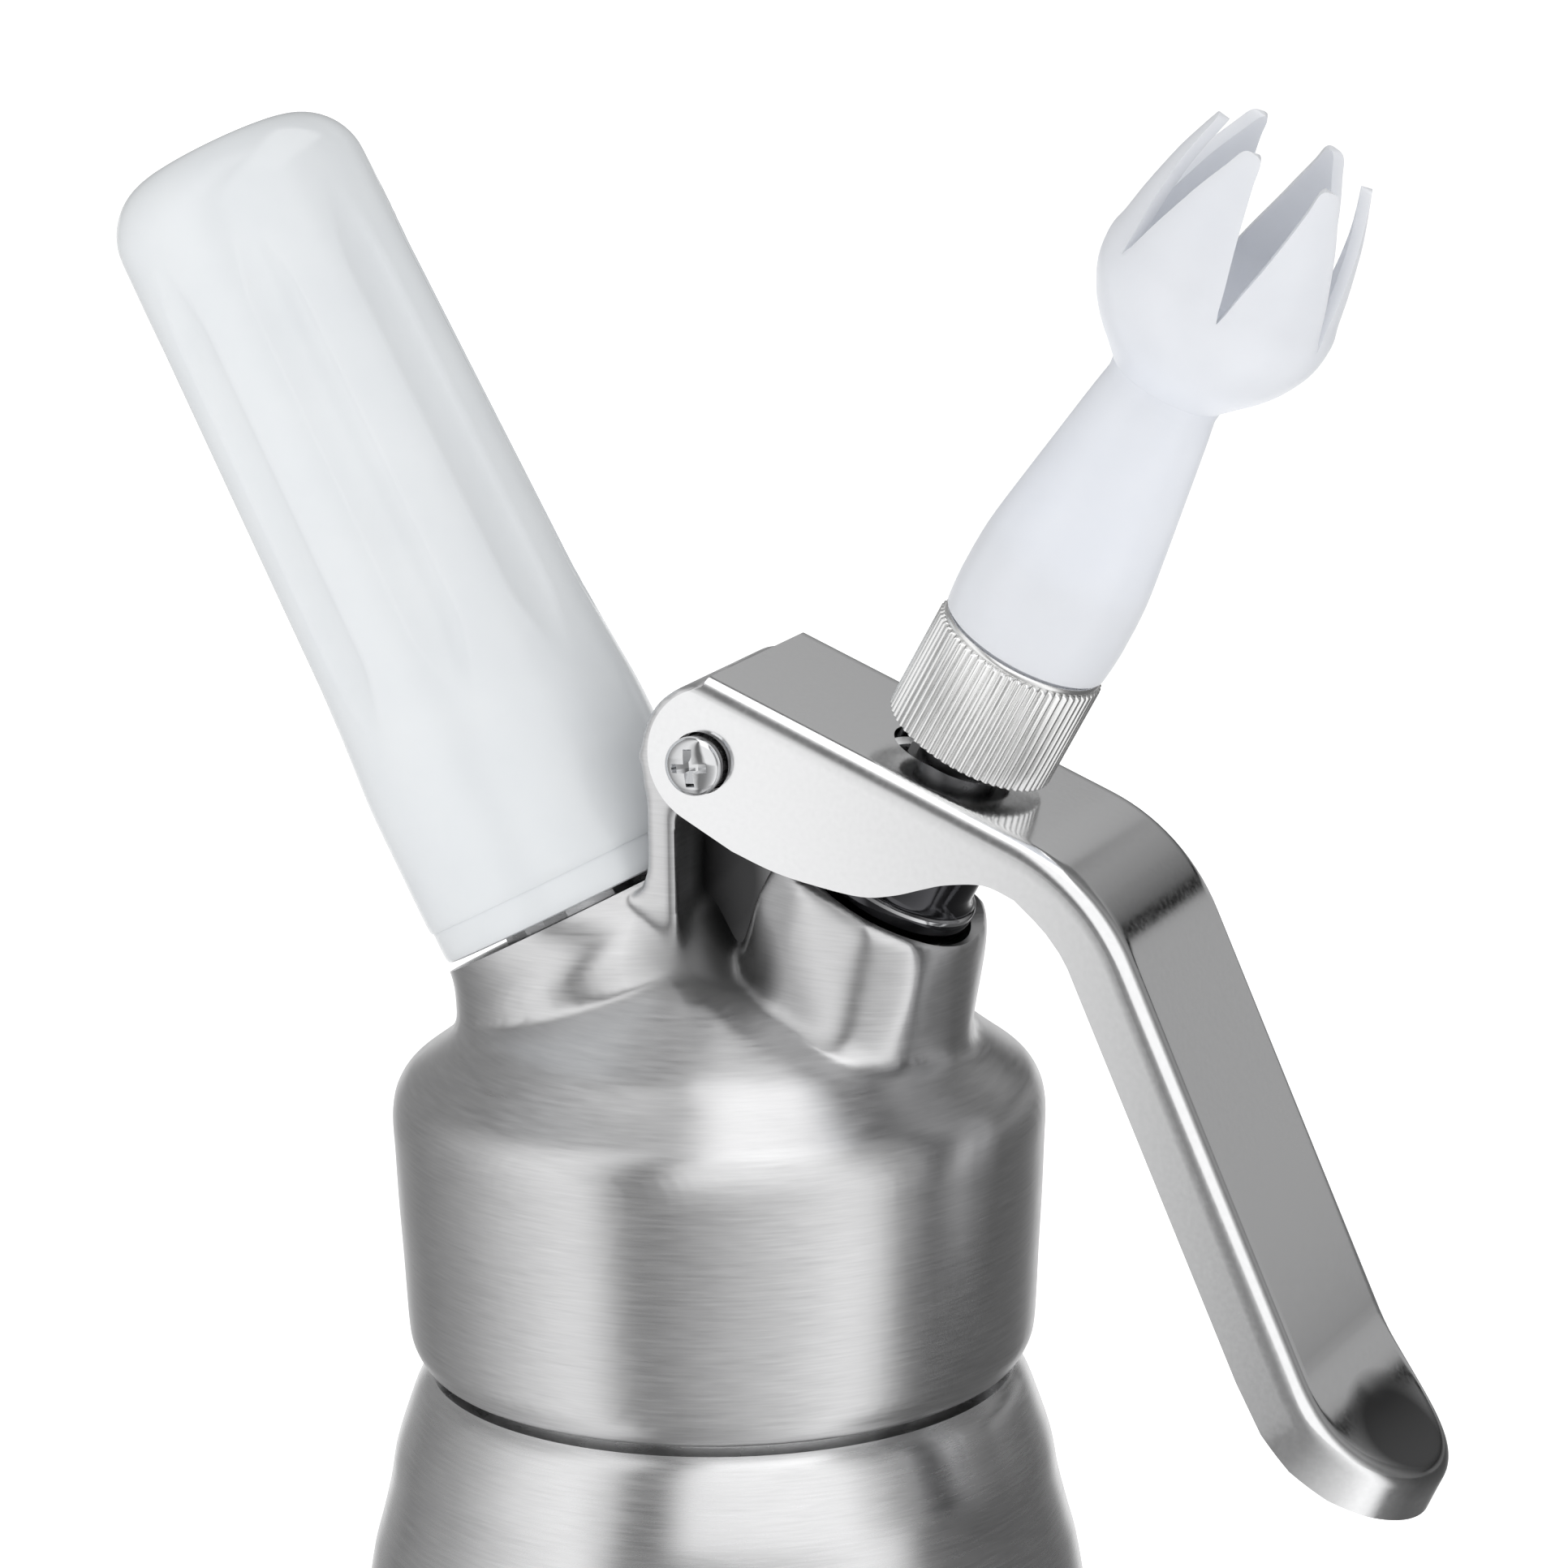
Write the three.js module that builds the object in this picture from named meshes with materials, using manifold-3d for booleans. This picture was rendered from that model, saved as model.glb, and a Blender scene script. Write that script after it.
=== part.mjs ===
// Whipped cream dispenser: an aluminium bottle and screw-on head, a tilted charger holder,
// a sprung valve worked by a sheet steel lever, and a tulip decorator tip.
// Millimetres. Z is up, the bottle stands on Z = 0, and the lever hangs on the +X side.

import * as THREE from 'three';
import { ConvexGeometry } from 'three/addons/geometries/ConvexGeometry.js';
import { mergeVertices } from 'three/addons/utils/BufferGeometryUtils.js';
import Module from 'manifold-3d';

// Fits
const seatGap = 0.3;
const runningGap = 0.2;
const cutOverrun = 1;
const openCutReach = 18;
const weldDepth = 0.4;

// Facets round a turned surface
const largeFacets = 32;
const middleFacets = 20;
const smallFacets = 12;

// Bottle
const bottleRadius = 40;
const bottleWall = 1.6;
const baseThickness = 2.4;
const baseEdgeRadius = 4;
const baseGrooveRadius = 26;
const baseGrooveWidth = 2;
const baseGrooveDepth = 0.8;
const straightHeight = 104;
const shoulderHeight = 45;
const neckRadius = 28.9;
const neckWall = 2.4;
const neckHeight = 13;
const bottleShoulderShares = [
  [0.995, 0.22], [0.98, 0.4], [0.957, 0.535], [0.932, 0.62], [0.907, 0.71],
  [0.889, 0.8], [0.857, 0.889], [0.824, 0.965], [0.79, 1],
];

// Screw thread between bottle and head
const neckThreadPitch = 4;
const neckThreadDepth = 1.3;
const neckThreadTurns = 2;
const threadClearance = 0.5;
const ridgeRootShare = 0.46;
const ridgeCrestShare = 0.2;
const ridgeStepsPerTurn = 20;
const ridgeStartAngle = 0.07;

// Head gasket
const gasketThickness = 2;
const gasketWidth = 4.4;

// Head casting
const headRadius = 35.05;
const skirtGap = 1;
const skirtHeight = 30;
const axesAboveSkirt = 18;
const headConeTilt = THREE.MathUtils.degToRad(29);
const headConeTop = 52;
const headConeFootShare = 0.7;
const skirtShares = [
  [0.9, 0], [0.925, 0.02], [0.947, 0.067], [0.962, 0.133], [0.976, 0.4], [0.987, 0.6], [0.998, 0.9],
];
const headShoulderShares = [
  [0.984, 0.02], [0.952, 0.24], [0.9, 0.44], [0.843, 0.65], [0.79, 0.86], [0.756, 1],
];
const shoulderRise = 7.3;
const headCavityRadius = 23;
const headCavityTopRadius = 12;
const headCavityHeight = 13.4;

// Charger side, measured along the charger axis from the point where the axes meet
const chargerTilt = THREE.MathUtils.degToRad(27.9);
const bossRadius = 15.8;
const bossFootRadius = 17.6;
const bossFootHeight = 29.4;
const bossNeckHeight = 31.6;
const bossHeight = 33.5;
const holderSideGap = 0.9;
const portRadius = 9;
const portShankRadius = 6.6;
const portShankDepth = 8;
const portHeight = 10;
const portFloorThickness = 4.2;
const portThreadPitch = 2;
const portThreadDepth = 0.8;
const portThreadTurns = 2.5;
const gasPassageRadius = 1.4;
const checkValveRadius = 3.2;
const checkValveThickness = 2.4;
const pinRadius = 0.9;
const pinRise = 3.6;
const portGasketThickness = 1.4;

// Gas charger
const chargerRadius = 8.9;
const chargerLength = 65;
const chargerNeckRadius = 4.3;
const chargerNeckLength = 9;
const chargerWall = 1.4;
const chargerShoulderShares = [[0, 0], [0.7, 0.7], [1, 1.7]];
const chargerEndShares = [[1, 1], [0.87, 0.5], [0.5, 0.13]];

// Charger holder
const holderGap = 1.5;
const holderLength = 89;
const holderBaseRadius = 16;
const holderWaistRadius = 15.4;
const holderTopRadius = 14.3;
const holderTopEdge = 7;
const holderCornerShares = [0.33, 0.67, 1];
const holderPlainShare = 0.23;
const holderFluteShare = 0.33;
const holderBaseEdge = 0.8;
const fluteCount = 8;
const fluteTurn = THREE.MathUtils.degToRad(26);
const fluteRadius = 7;
const fluteDepth = 0.7;
const fluteTopInset = 10;
const fluteLength = 54;
const fluteCapSteps = 4;
const fluteSides = 22;
const insertWall = 1.7;
const insertLength = 46;
const holderBoreGap = 0.5;

// Valve side, measured along the nozzle axis from the point where the axes meet
const nozzleTilt = THREE.MathUtils.degToRad(29.35);
const springBoreRadius = 8.7;
const springBoreFloor = 27;
const collarBoreRadius = 9.8;
const collarBoreFloor = 35;
const towerWall = 0.9;
const towerMouthHeight = 39.2;
const towerMouthSlope = 0.32;
const towerFootHeight = 24;
const towerMouthShares = [
  [-0.95, 0.42], [-0.55, 0.97], [0.2, 1.09], [0.63, 0.9], [0.93, 0.44], [1.01, 0],
];
const towerFootShares = [
  [-0.88, 0.36], [-0.27, 0.97], [0.77, 1.4], [1.42, 1.3], [1.66, 0.43], [1.69, 0],
];
const stemRadius = 4.2;
const stemBoreRadius = 2.6;
const stemFootHeight = 4;
const stemFootRadius = 5.6;
const stemSeatHeight = 9.4;
const stemPortHeight = 14.4;
const stemPortRadius = 1.5;
const chamberGap = 0.8;
const guideRadius = 6.4;
const guideFlangeRadius = 8.4;
const guideFlangeThickness = 1.6;
const sealRingThickness = 1.6;
const slideRingHeight = 20;
const slideRingThickness = 1.1;
const collarRimRadius = 9.3;
const collarRimHeight = 42.8;
const collarDishDepth = 2.4;
const collarWall = 0.9;
const collarHubRadius = 7;
const clipRadius = 5.3;
const clipThickness = 0.8;
const clipGrooveDepth = 0.7;
const springWireRadius = 0.7;
const springRadius = 7.4;
const springCurls = 4.5;
const springStepsPerCurl = 8;
const springSides = 5;

// Knurled tip adapter
const adapterBottom = 59.8;
const knurlLength = 12.7;
const knurlRadius = 9.3;
const knurlDepth = 0.35;
const knurlCount = 36;
const knurlLip = 0.8;
const adapterRecessDepth = 0.9;
const spigotRadius = 6.2;
const spigotLength = 8;
const tipThreadPitch = 2;
const tipThreadDepth = 0.7;
const tipThreadTurns = 2;
const adapterSealThickness = 1.4;
const tipWasherThickness = 1;

// Decorator tip, heights measured from the top of the knurled ring
const tipBaseRadius = 9.1;
const tipLength = 59.4;
const tipWall = 1.3;
const tipNeckHeight = 31.3;
const tipNeckRadius = 6;
const cupRadius = 12.6;
const tipBarrelShares = [[1, 0.03], [1.027, 0.145], [1.011, 0.3], [0.923, 0.5], [0.824, 0.69], [0.725, 0.88]];
const cupShares = [
  [0.49, 0.025], [0.6, 0.08], [0.755, 0.15], [0.873, 0.22], [0.976, 0.33], [1, 0.44],
  [0.965, 0.51], [0.922, 0.62], [0.868, 0.73], [0.806, 0.835], [0.68, 1],
];
const petalCount = 6;
const petalTurn = THREE.MathUtils.degToRad(20);
const petalTipWidth = 3.2;
const notchHeight = 43.5;

// Lever, laid out along its top plate from the pivot
const pivotX = 4.6;
const pivotAboveSkirt = 68.5;
const plateTilt = THREE.MathUtils.degToRad(22);
const plateRise = 8.45;
const plateStart = -1.95;
const plateLength = 44.15;
const armBend = THREE.MathUtils.degToRad(44.2);
const armBendRadius = 22;
const armLength = 71.5;
const armDepth = 6.6;
const armTurnUpLength = 16;
const armTurnUpRadius = 24;
const armTurnUpReachShare = 1.2;
const armEndLeanShare = 0.7;
const armEndDepth = 5.8;
const leverWidth = 26.5;
const leverSheet = 1.5;
const leverEdgeRadius = 2;
const leverEdgeSteps = 3;
const leverBendSteps = 8;
const leverTurnUpSteps = 4;
const leverEndSteps = 14;
const earSteps = 9;
const earRadius = 7.3;
const earOffset = 1.35;
const earRise = 0.65;
const flangeReach = 50;
const flangeDrop = 7.9;
const flangeEdgeShares = [
  [0.135, -0.92], [0.235, -0.91], [0.325, -0.82], [0.43, -0.64], [0.495, -0.39], [0.545, -0.13],
  [0.59, 0.09], [0.665, 0.34], [0.735, 0.38], [0.825, 0.14],
];
const slotStretch = 2.8;
const slotSteps = 8;

// Hinge post, knuckle and web of the head
const knuckleRadius = 6.4;
const knuckleSideGap = 0.5;
const postBack = -4;
const postThickness = 3.7;
const webThickness = 6;
const webShares = [[-0.05, 0.4], [-0.05, 0.9], [0.1, 0.86], [0.24, 0.74], [0.36, 0.66], [0.36, 0.4]];
const pocketFloorHeight = 45;
const pocketFloorSlope = 0.336;
const pocketReach = 27;
const padThickness = 0.6;
const padShares = [[0, 0.82], [0.19, 0.73], [0.19, 0.66], [0.1, 0.545], [0.03, 0.56], [0, 0.62]];

// Pivot sleeve, washers and screws
const sleeveRadius = 3;
const sleeveBoreRadius = 1.7;
const washerRadius = 3.45;
const washerThickness = 0.5;
const screwHeadRadius = 2.95;
const screwHeadHeight = 1.5;
const screwShankRadius = 1.4;
const screwLength = 9;
const screwRecessWidth = 0.9;
const screwRecessLength = 3.4;
const screwRecessDepth = 1;
const screwHeadShares = [[1, 0], [1, 0.3], [0.9, 0.62], [0.68, 0.86], [0.38, 0.97]];

// Places worked out from the sizes above
const shoulderTop = straightHeight + shoulderHeight;
const rimHeight = shoulderTop + neckHeight;
const skirtBottom = shoulderTop + skirtGap;
const axesHeight = skirtBottom + axesAboveSkirt;
const headCeiling = rimHeight + gasketThickness + 2 * seatGap;
const skirtBore = neckRadius + neckThreadDepth + threadClearance;
const pivotHeight = skirtBottom + pivotAboveSkirt;
const portBase = bossHeight - portShankDepth;
const portTop = bossHeight + portHeight;
const portCupRadius = chargerNeckRadius + seatGap;
const portCupFloor = bossHeight + portFloorThickness;
const insertBore = portRadius + portThreadDepth + threadClearance;
const insertRadius = insertBore + insertWall;
const holderBore = insertRadius + seatGap;
const holderBase = bossHeight + holderGap;
const chargerMouth = portCupFloor + portGasketThickness + 2 * seatGap;
const spigotTop = adapterBottom + knurlLength + spigotLength;
const ringTop = adapterBottom + knurlLength;
const tipBore = spigotRadius + tipThreadDepth + threadClearance;
const tipFloor = spigotTop + tipWasherThickness + 2 * seatGap;
const collarFloor = collarRimHeight - collarDishDepth;
const guideTop = springBoreFloor + guideFlangeThickness;
const springFoot = guideTop + seatGap + springWireRadius;
const springHead = collarFloor - collarWall - seatGap - springWireRadius;
const leverInnerHalf = leverWidth / 2 - leverSheet;
const knuckleHalf = leverInnerHalf - knuckleSideGap;
const pivotBore = sleeveRadius + runningGap;
const slotHalf = clipRadius + seatGap;
const plateUndersideOnStem = stemCrossing(plateRise - leverSheet);
const collarTop = plateUndersideOnStem - collarHubRadius * Math.tan(nozzleTilt - plateTilt) - seatGap;

// Frames of the two tilted axes and of the lever
const nozzleFrame = new THREE.Matrix4().makeRotationY(nozzleTilt).setPosition(0, 0, axesHeight);
const chargerFrame = new THREE.Matrix4().makeRotationY(-chargerTilt).setPosition(0, 0, axesHeight);
const leverFrame = new THREE.Matrix4().makeRotationY(plateTilt).setPosition(pivotX, 0, pivotHeight);

const library = await Module();
library.setup();

// How far up the nozzle axis a line parallel to the lever plate crosses it
function stemCrossing(rise) {
  const pivotUp = pivotHeight - axesHeight;
  const reach = pivotX * Math.sin(plateTilt) + pivotUp * Math.cos(plateTilt) + rise;
  return reach / Math.cos(nozzleTilt - plateTilt);
}

// Solids
function solidFrom(geometry) {
  const bare = geometry.clone();
  bare.deleteAttribute('normal');
  bare.deleteAttribute('uv');
  const merged = mergeVertices(bare);
  const corners = merged.index.array;
  const triangles = [];
  for (let i = 0; i < corners.length; i += 3) {
    const [a, b, c] = corners.subarray(i, i + 3);
    if (a !== b && b !== c && c !== a) triangles.push(a, b, c);
  }
  const vertProperties = Float32Array.from(merged.attributes.position.array);
  const triVerts = Uint32Array.from(triangles);
  return new library.Manifold(new library.Mesh({ numProp: 3, vertProperties, triVerts }));
}

function geometryFrom(solid) {
  const mesh = solid.getMesh();
  const geometry = new THREE.BufferGeometry();
  geometry.setAttribute('position', new THREE.BufferAttribute(mesh.vertProperties, 3));
  geometry.setIndex(new THREE.BufferAttribute(mesh.triVerts, 1));
  return geometry;
}

function combine(how, first, others) {
  let solid = solidFrom(first);
  for (const other of others) solid = solid[how](solidFrom(other));
  return geometryFrom(solid);
}

const join = (first, ...others) => combine('add', first, others);
const cut = (first, ...others) => combine('subtract', first, others);
const keep = (first, ...others) => combine('intersect', first, others);

const placed = (geometry, frame) => geometry.clone().applyMatrix4(frame);

// An outline of [radius, height] pairs turned about Z
function turned(outline, facets) {
  const points = outline.map(([radius, height]) => new THREE.Vector2(radius, height));
  return new THREE.LatheGeometry(points, facets).rotateX(Math.PI / 2);
}

function disc(radius, bottom, top, facets = smallFacets) {
  return turned([[0, bottom], [radius, bottom], [radius, top], [0, top]], facets);
}

function ring(inner, outer, bottom, top, facets = smallFacets) {
  return turned([[inner, bottom], [outer, bottom], [outer, top], [inner, top], [inner, bottom]], facets);
}

// An outline of [x, z] pairs pushed to both sides of the plane y = 0
function slab(outline, width, edge = 0, edgeSteps = 0) {
  const shape = new THREE.Shape(outline.map(([x, z]) => new THREE.Vector2(x, z)));
  const geometry = new THREE.ExtrudeGeometry(shape, {
    depth: width - 2 * edge,
    bevelEnabled: edge > 0,
    bevelThickness: edge,
    bevelSize: edge,
    bevelOffset: -edge,
    bevelSegments: edgeSteps,
  });
  return geometry.translate(0, 0, edge - width / 2).rotateX(Math.PI / 2);
}

// A closed tube from rings of points, one ring a step
function tubeThrough(rings) {
  const sides = rings[0].length;
  const positions = rings.flat().flatMap((point) => point.toArray());
  const corners = [];
  for (let step = 0; step + 1 < rings.length; step += 1) {
    for (let side = 0; side < sides; side += 1) {
      const a = step * sides + side;
      const b = step * sides + (side + 1) % sides;
      corners.push(a, b, b + sides, a, b + sides, a + sides);
    }
  }
  const last = (rings.length - 1) * sides;
  for (let side = 1; side + 1 < sides; side += 1) {
    corners.push(0, side + 1, side);
    corners.push(last, last + side, last + side + 1);
  }
  const geometry = new THREE.BufferGeometry();
  geometry.setAttribute('position', new THREE.Float32BufferAttribute(positions, 3));
  geometry.setIndex(corners);
  return geometry;
}

// A screw thread's ridge, rooted at one radius and reaching in or out to another
function threadRidge(rootRadius, crestRadius, pitch, turns, bottom) {
  const steps = Math.round(turns * ridgeStepsPerTurn);
  const outward = Math.sign(crestRadius - rootRadius);
  const sunkRadius = rootRadius - outward * weldDepth;
  const section = [
    [sunkRadius, -ridgeRootShare / 2], [crestRadius, -ridgeCrestShare / 2],
    [crestRadius, ridgeCrestShare / 2], [sunkRadius, ridgeRootShare / 2],
  ];
  if (outward > 0) section.reverse();
  const rings = [];
  for (let step = 0; step <= steps; step += 1) {
    const turn = step / ridgeStepsPerTurn;
    const angle = ridgeStartAngle + turn * 2 * Math.PI;
    rings.push(section.map(([radius, share]) => new THREE.Vector3(
      radius * Math.cos(angle), radius * Math.sin(angle), bottom + (turn + share) * pitch,
    )));
  }
  return tubeThrough(rings);
}

// Bottle
function bottleOutline() {
  const wall = bottleWall;
  const outer = bottleShoulderShares.map(
    ([radius, height]) => [radius * bottleRadius, straightHeight + height * shoulderHeight]);
  const inner = outer.filter((_, index) => index % 2 === 1)
    .map(([radius, height]) => [radius - wall, height - wall / 2]).reverse();
  const mouth = neckRadius - neckWall;
  const grooveInner = baseGrooveRadius - baseGrooveWidth / 2;
  const grooveOuter = baseGrooveRadius + baseGrooveWidth / 2;
  return [
    [0, 0], [grooveInner, 0], [grooveInner, baseGrooveDepth],
    [grooveOuter, baseGrooveDepth], [grooveOuter, 0],
    [bottleRadius - baseEdgeRadius, 0], [bottleRadius - baseEdgeRadius / 4, baseEdgeRadius / 3],
    [bottleRadius, baseEdgeRadius], [bottleRadius, straightHeight], ...outer,
    [neckRadius, shoulderTop], [neckRadius, rimHeight], [mouth, rimHeight], [mouth, shoulderTop - wall],
    ...inner, [bottleRadius - wall, straightHeight], [bottleRadius - wall, baseThickness + baseEdgeRadius],
    [bottleRadius - wall - baseEdgeRadius, baseThickness], [0, baseThickness],
  ];
}

function makeBottle() {
  const start = rimHeight - neckThreadPitch / 2 - neckThreadTurns * neckThreadPitch;
  const thread = threadRidge(
    neckRadius, neckRadius + neckThreadDepth, neckThreadPitch, neckThreadTurns, start);
  return join(turned(bottleOutline(), largeFacets), thread);
}

const makeHeadGasket = () => ring(
  skirtBore - seatGap - gasketWidth, skirtBore - seatGap - neckThreadDepth / 2,
  rimHeight + seatGap, rimHeight + seatGap + gasketThickness, largeFacets);

// Head casting
function headShell() {
  const skirt = skirtShares.map(
    ([radius, height]) => [radius * headRadius, skirtBottom + height * skirtHeight]);
  const shoulder = headShoulderShares.map(
    ([radius, rise]) => [radius * headRadius, skirtBottom + skirtHeight + rise * shoulderRise]);
  const coneTop = skirtBottom + headConeTop;
  const innerEdge = headRadius * headConeFootShare;
  const cone = [[innerEdge, coneTop - innerEdge * Math.tan(headConeTilt)], [0, coneTop]];
  return turned([
    [0, headCeiling + headCavityHeight], [headCavityTopRadius, headCeiling + headCavityHeight],
    [headCavityRadius, headCeiling], [skirtBore, headCeiling], [skirtBore, skirtBottom],
    ...skirt, ...shoulder, ...cone,
  ], largeFacets);
}

// Points given as [share of head radius, share of pivot height above the skirt]
const onHead = (shares) => shares.map(
  ([across, up]) => [pivotX + across * headRadius, skirtBottom + up * pivotAboveSkirt]);

function pocketCutter(direction) {
  const front = postBack + postThickness;
  const floorAt = (x) => skirtBottom + pocketFloorHeight - x * pocketFloorSlope;
  const outline = [
    [front, floorAt(front)], [pocketReach, floorAt(pocketReach)],
    [pocketReach, pivotHeight + knuckleRadius], [front, pivotHeight + knuckleRadius],
  ];
  const side = headRadius;
  return slab(outline, side).translate(0, direction * (side + webThickness) / 2, 0);
}

function hingePost() {
  const post = slab([
    [postBack, axesHeight], [postBack + postThickness, axesHeight],
    [postBack + postThickness, pivotHeight], [postBack, pivotHeight],
  ], 2 * knuckleHalf);
  const knuckle = disc(knuckleRadius, -knuckleHalf, knuckleHalf, middleFacets)
    .rotateX(Math.PI / 2).translate(pivotX, 0, pivotHeight);
  return join(post, knuckle);
}

function valveTower() {
  const radius = collarBoreRadius + towerWall;
  const corners = [];
  for (const side of [-1, 1]) {
    for (const [along, across] of towerMouthShares) {
      const height = towerMouthHeight + along * radius * towerMouthSlope;
      corners.push(new THREE.Vector3(along * radius, side * across * radius, height));
    }
    for (const [along, across] of towerFootShares) {
      corners.push(new THREE.Vector3(along * radius, side * across * radius, towerFootHeight));
    }
  }
  return placed(new ConvexGeometry(corners), nozzleFrame);
}

function chargerBoss() {
  return placed(turned([
    [0, 0], [bossFootRadius, 0], [bossFootRadius, bossFootHeight],
    [bossRadius + (bossHeight - bossNeckHeight) / 4, bossNeckHeight],
    [bossRadius, bossHeight], [0, bossHeight],
  ], largeFacets), chargerFrame);
}

function headBores() {
  const cavityDepth = headCeiling + headCavityHeight / 2 - axesHeight;
  const collar = disc(collarBoreRadius, collarBoreFloor, collarRimHeight + openCutReach, middleFacets);
  const spring = disc(springBoreRadius, springBoreFloor, collarBoreFloor + cutOverrun, middleFacets);
  const guide = disc(guideRadius + seatGap, cavityDepth, springBoreFloor + cutOverrun, middleFacets);
  const port = disc(portShankRadius + seatGap, portBase, bossHeight + cutOverrun, middleFacets);
  const checkFloor = portBase - checkValveThickness - 2 * seatGap;
  const check = disc(checkValveRadius + seatGap, checkFloor, portBase + cutOverrun);
  const gas = disc(gasPassageRadius, cavityDepth, portBase);
  const holder = disc(holderBaseRadius + holderSideGap, bossHeight, bossHeight + openCutReach, largeFacets);
  const pivot = disc(pivotBore, -leverWidth, leverWidth)
    .rotateX(Math.PI / 2).translate(pivotX, 0, pivotHeight);
  const tilted = [port, check, gas, holder].map((bore) => placed(bore, chargerFrame));
  const valveSide = [collar, spring, guide].map((bore) => placed(bore, nozzleFrame));
  return [...valveSide, ...tilted, pivot];
}

function makeHead() {
  const web = slab(onHead(webShares), webThickness);
  const pads = slab(onHead(padShares), webThickness + 2 * padThickness);
  const carved = cut(join(headShell(), web), pocketCutter(-1), pocketCutter(1));
  const built = join(carved, pads, hingePost(), valveTower(), chargerBoss());
  const cavity = turned([
    [0, skirtBottom - cutOverrun], [skirtBore, skirtBottom - cutOverrun], [skirtBore, headCeiling],
    [headCavityRadius, headCeiling], [headCavityTopRadius, headCeiling + headCavityHeight],
    [0, headCeiling + headCavityHeight],
  ], largeFacets);
  const hollow = cut(built, cavity, ...headBores());
  const crest = neckRadius + threadClearance;
  const turns = neckThreadTurns - ridgeRootShare;
  const start = rimHeight - neckThreadTurns * neckThreadPitch;
  const thread = threadRidge(skirtBore, crest, neckThreadPitch, turns, start);
  return join(hollow, thread);
}

// Charger port, its gasket, pin and non-return valve
function makeChargerPort() {
  const body = turned([
    [gasPassageRadius, portBase], [portShankRadius, portBase], [portShankRadius, bossHeight + seatGap],
    [portRadius, bossHeight + seatGap], [portRadius, portTop], [portCupRadius, portTop],
    [portCupRadius, portCupFloor], [gasPassageRadius, portCupFloor], [gasPassageRadius, portBase],
  ], middleFacets);
  const thread = threadRidge(
    portRadius, portRadius + portThreadDepth, portThreadPitch, portThreadTurns,
    bossHeight + portThreadPitch + portThreadPitch / 2);
  return join(body, thread);
}

function makePiercingPin() {
  const foot = portCupFloor - portFloorThickness / 2;
  const shoulder = portCupFloor + pinRise - pinRadius;
  return turned([
    [0, foot], [pinRadius, foot], [pinRadius, shoulder], [0, shoulder + pinRadius * 2],
  ], smallFacets);
}

const makePortGasket = () => ring(
  pinRadius + runningGap, chargerNeckRadius, portCupFloor + seatGap,
  portCupFloor + seatGap + portGasketThickness);

function makeCheckValve() {
  const top = portBase - seatGap;
  const bottom = top - checkValveThickness;
  return turned([
    [0, bottom + checkValveThickness / 2], [checkValveRadius / 2, bottom], [checkValveRadius, bottom],
    [checkValveRadius, top], [0, top],
  ], smallFacets);
}

// Gas charger, pierced and open at the neck
function makeGasCharger() {
  const neckTop = chargerMouth + chargerNeckLength;
  const top = chargerMouth + chargerLength;
  const spread = chargerRadius - chargerNeckRadius;
  const wall = chargerWall;
  const hole = pinRadius + runningGap;
  const shoulder = chargerShoulderShares.map(
    ([across, up]) => [chargerNeckRadius + spread * across, neckTop + spread * up]);
  const end = chargerEndShares.map(([across, down]) => [chargerRadius * across, top - chargerRadius * down]);
  const [bodyRadius, bodyBottom] = shoulder[shoulder.length - 1];
  const [crownRadius, crownHeight] = end[end.length - 1];
  return turned([
    [hole, chargerMouth], [chargerNeckRadius, chargerMouth], ...shoulder, ...end, [0, top],
    [0, top - wall], [crownRadius - wall, crownHeight - wall],
    [bodyRadius - wall, top - chargerRadius], [bodyRadius - wall, bodyBottom],
    [chargerNeckRadius - wall, neckTop], [hole, neckTop - wall], [hole, chargerMouth],
  ], middleFacets);
}

// Charger holder and its threaded insert
function makeHolderInsert() {
  const bottom = holderBase + holderBaseEdge;
  const threadTop = bottom + portHeight + cutOverrun;
  const top = bottom + insertLength;
  const bulbBore = chargerRadius + holderBoreGap;
  const body = turned([
    [insertBore, bottom], [insertRadius, bottom], [insertRadius, top], [bulbBore, top],
    [bulbBore, threadTop], [insertBore, threadTop], [insertBore, bottom],
  ], middleFacets);
  const start = bossHeight + portThreadPitch * 2;
  const thread = threadRidge(
    insertBore, portRadius + threadClearance, portThreadPitch, portThreadTurns - 1, start);
  return join(body, thread);
}

function holderFlute(index) {
  const waist = holderBase + holderLength * holderFluteShare;
  const top = holderBase + holderLength;
  const slope = (holderWaistRadius - holderTopRadius) / (top - holderTopEdge - waist);
  const middle = top - fluteTopInset - fluteLength / 2;
  const surface = holderTopRadius + (top - holderTopEdge - middle) * slope;
  const straight = fluteLength - 2 * fluteRadius;
  const flute = new THREE.CapsuleGeometry(fluteRadius, straight, fluteCapSteps, fluteSides);
  flute.rotateX(Math.PI / 2).rotateY(-Math.atan(slope));
  flute.translate(surface + fluteRadius - fluteDepth, 0, middle);
  return flute.rotateZ(fluteTurn + index * 2 * Math.PI / fluteCount);
}

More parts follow.
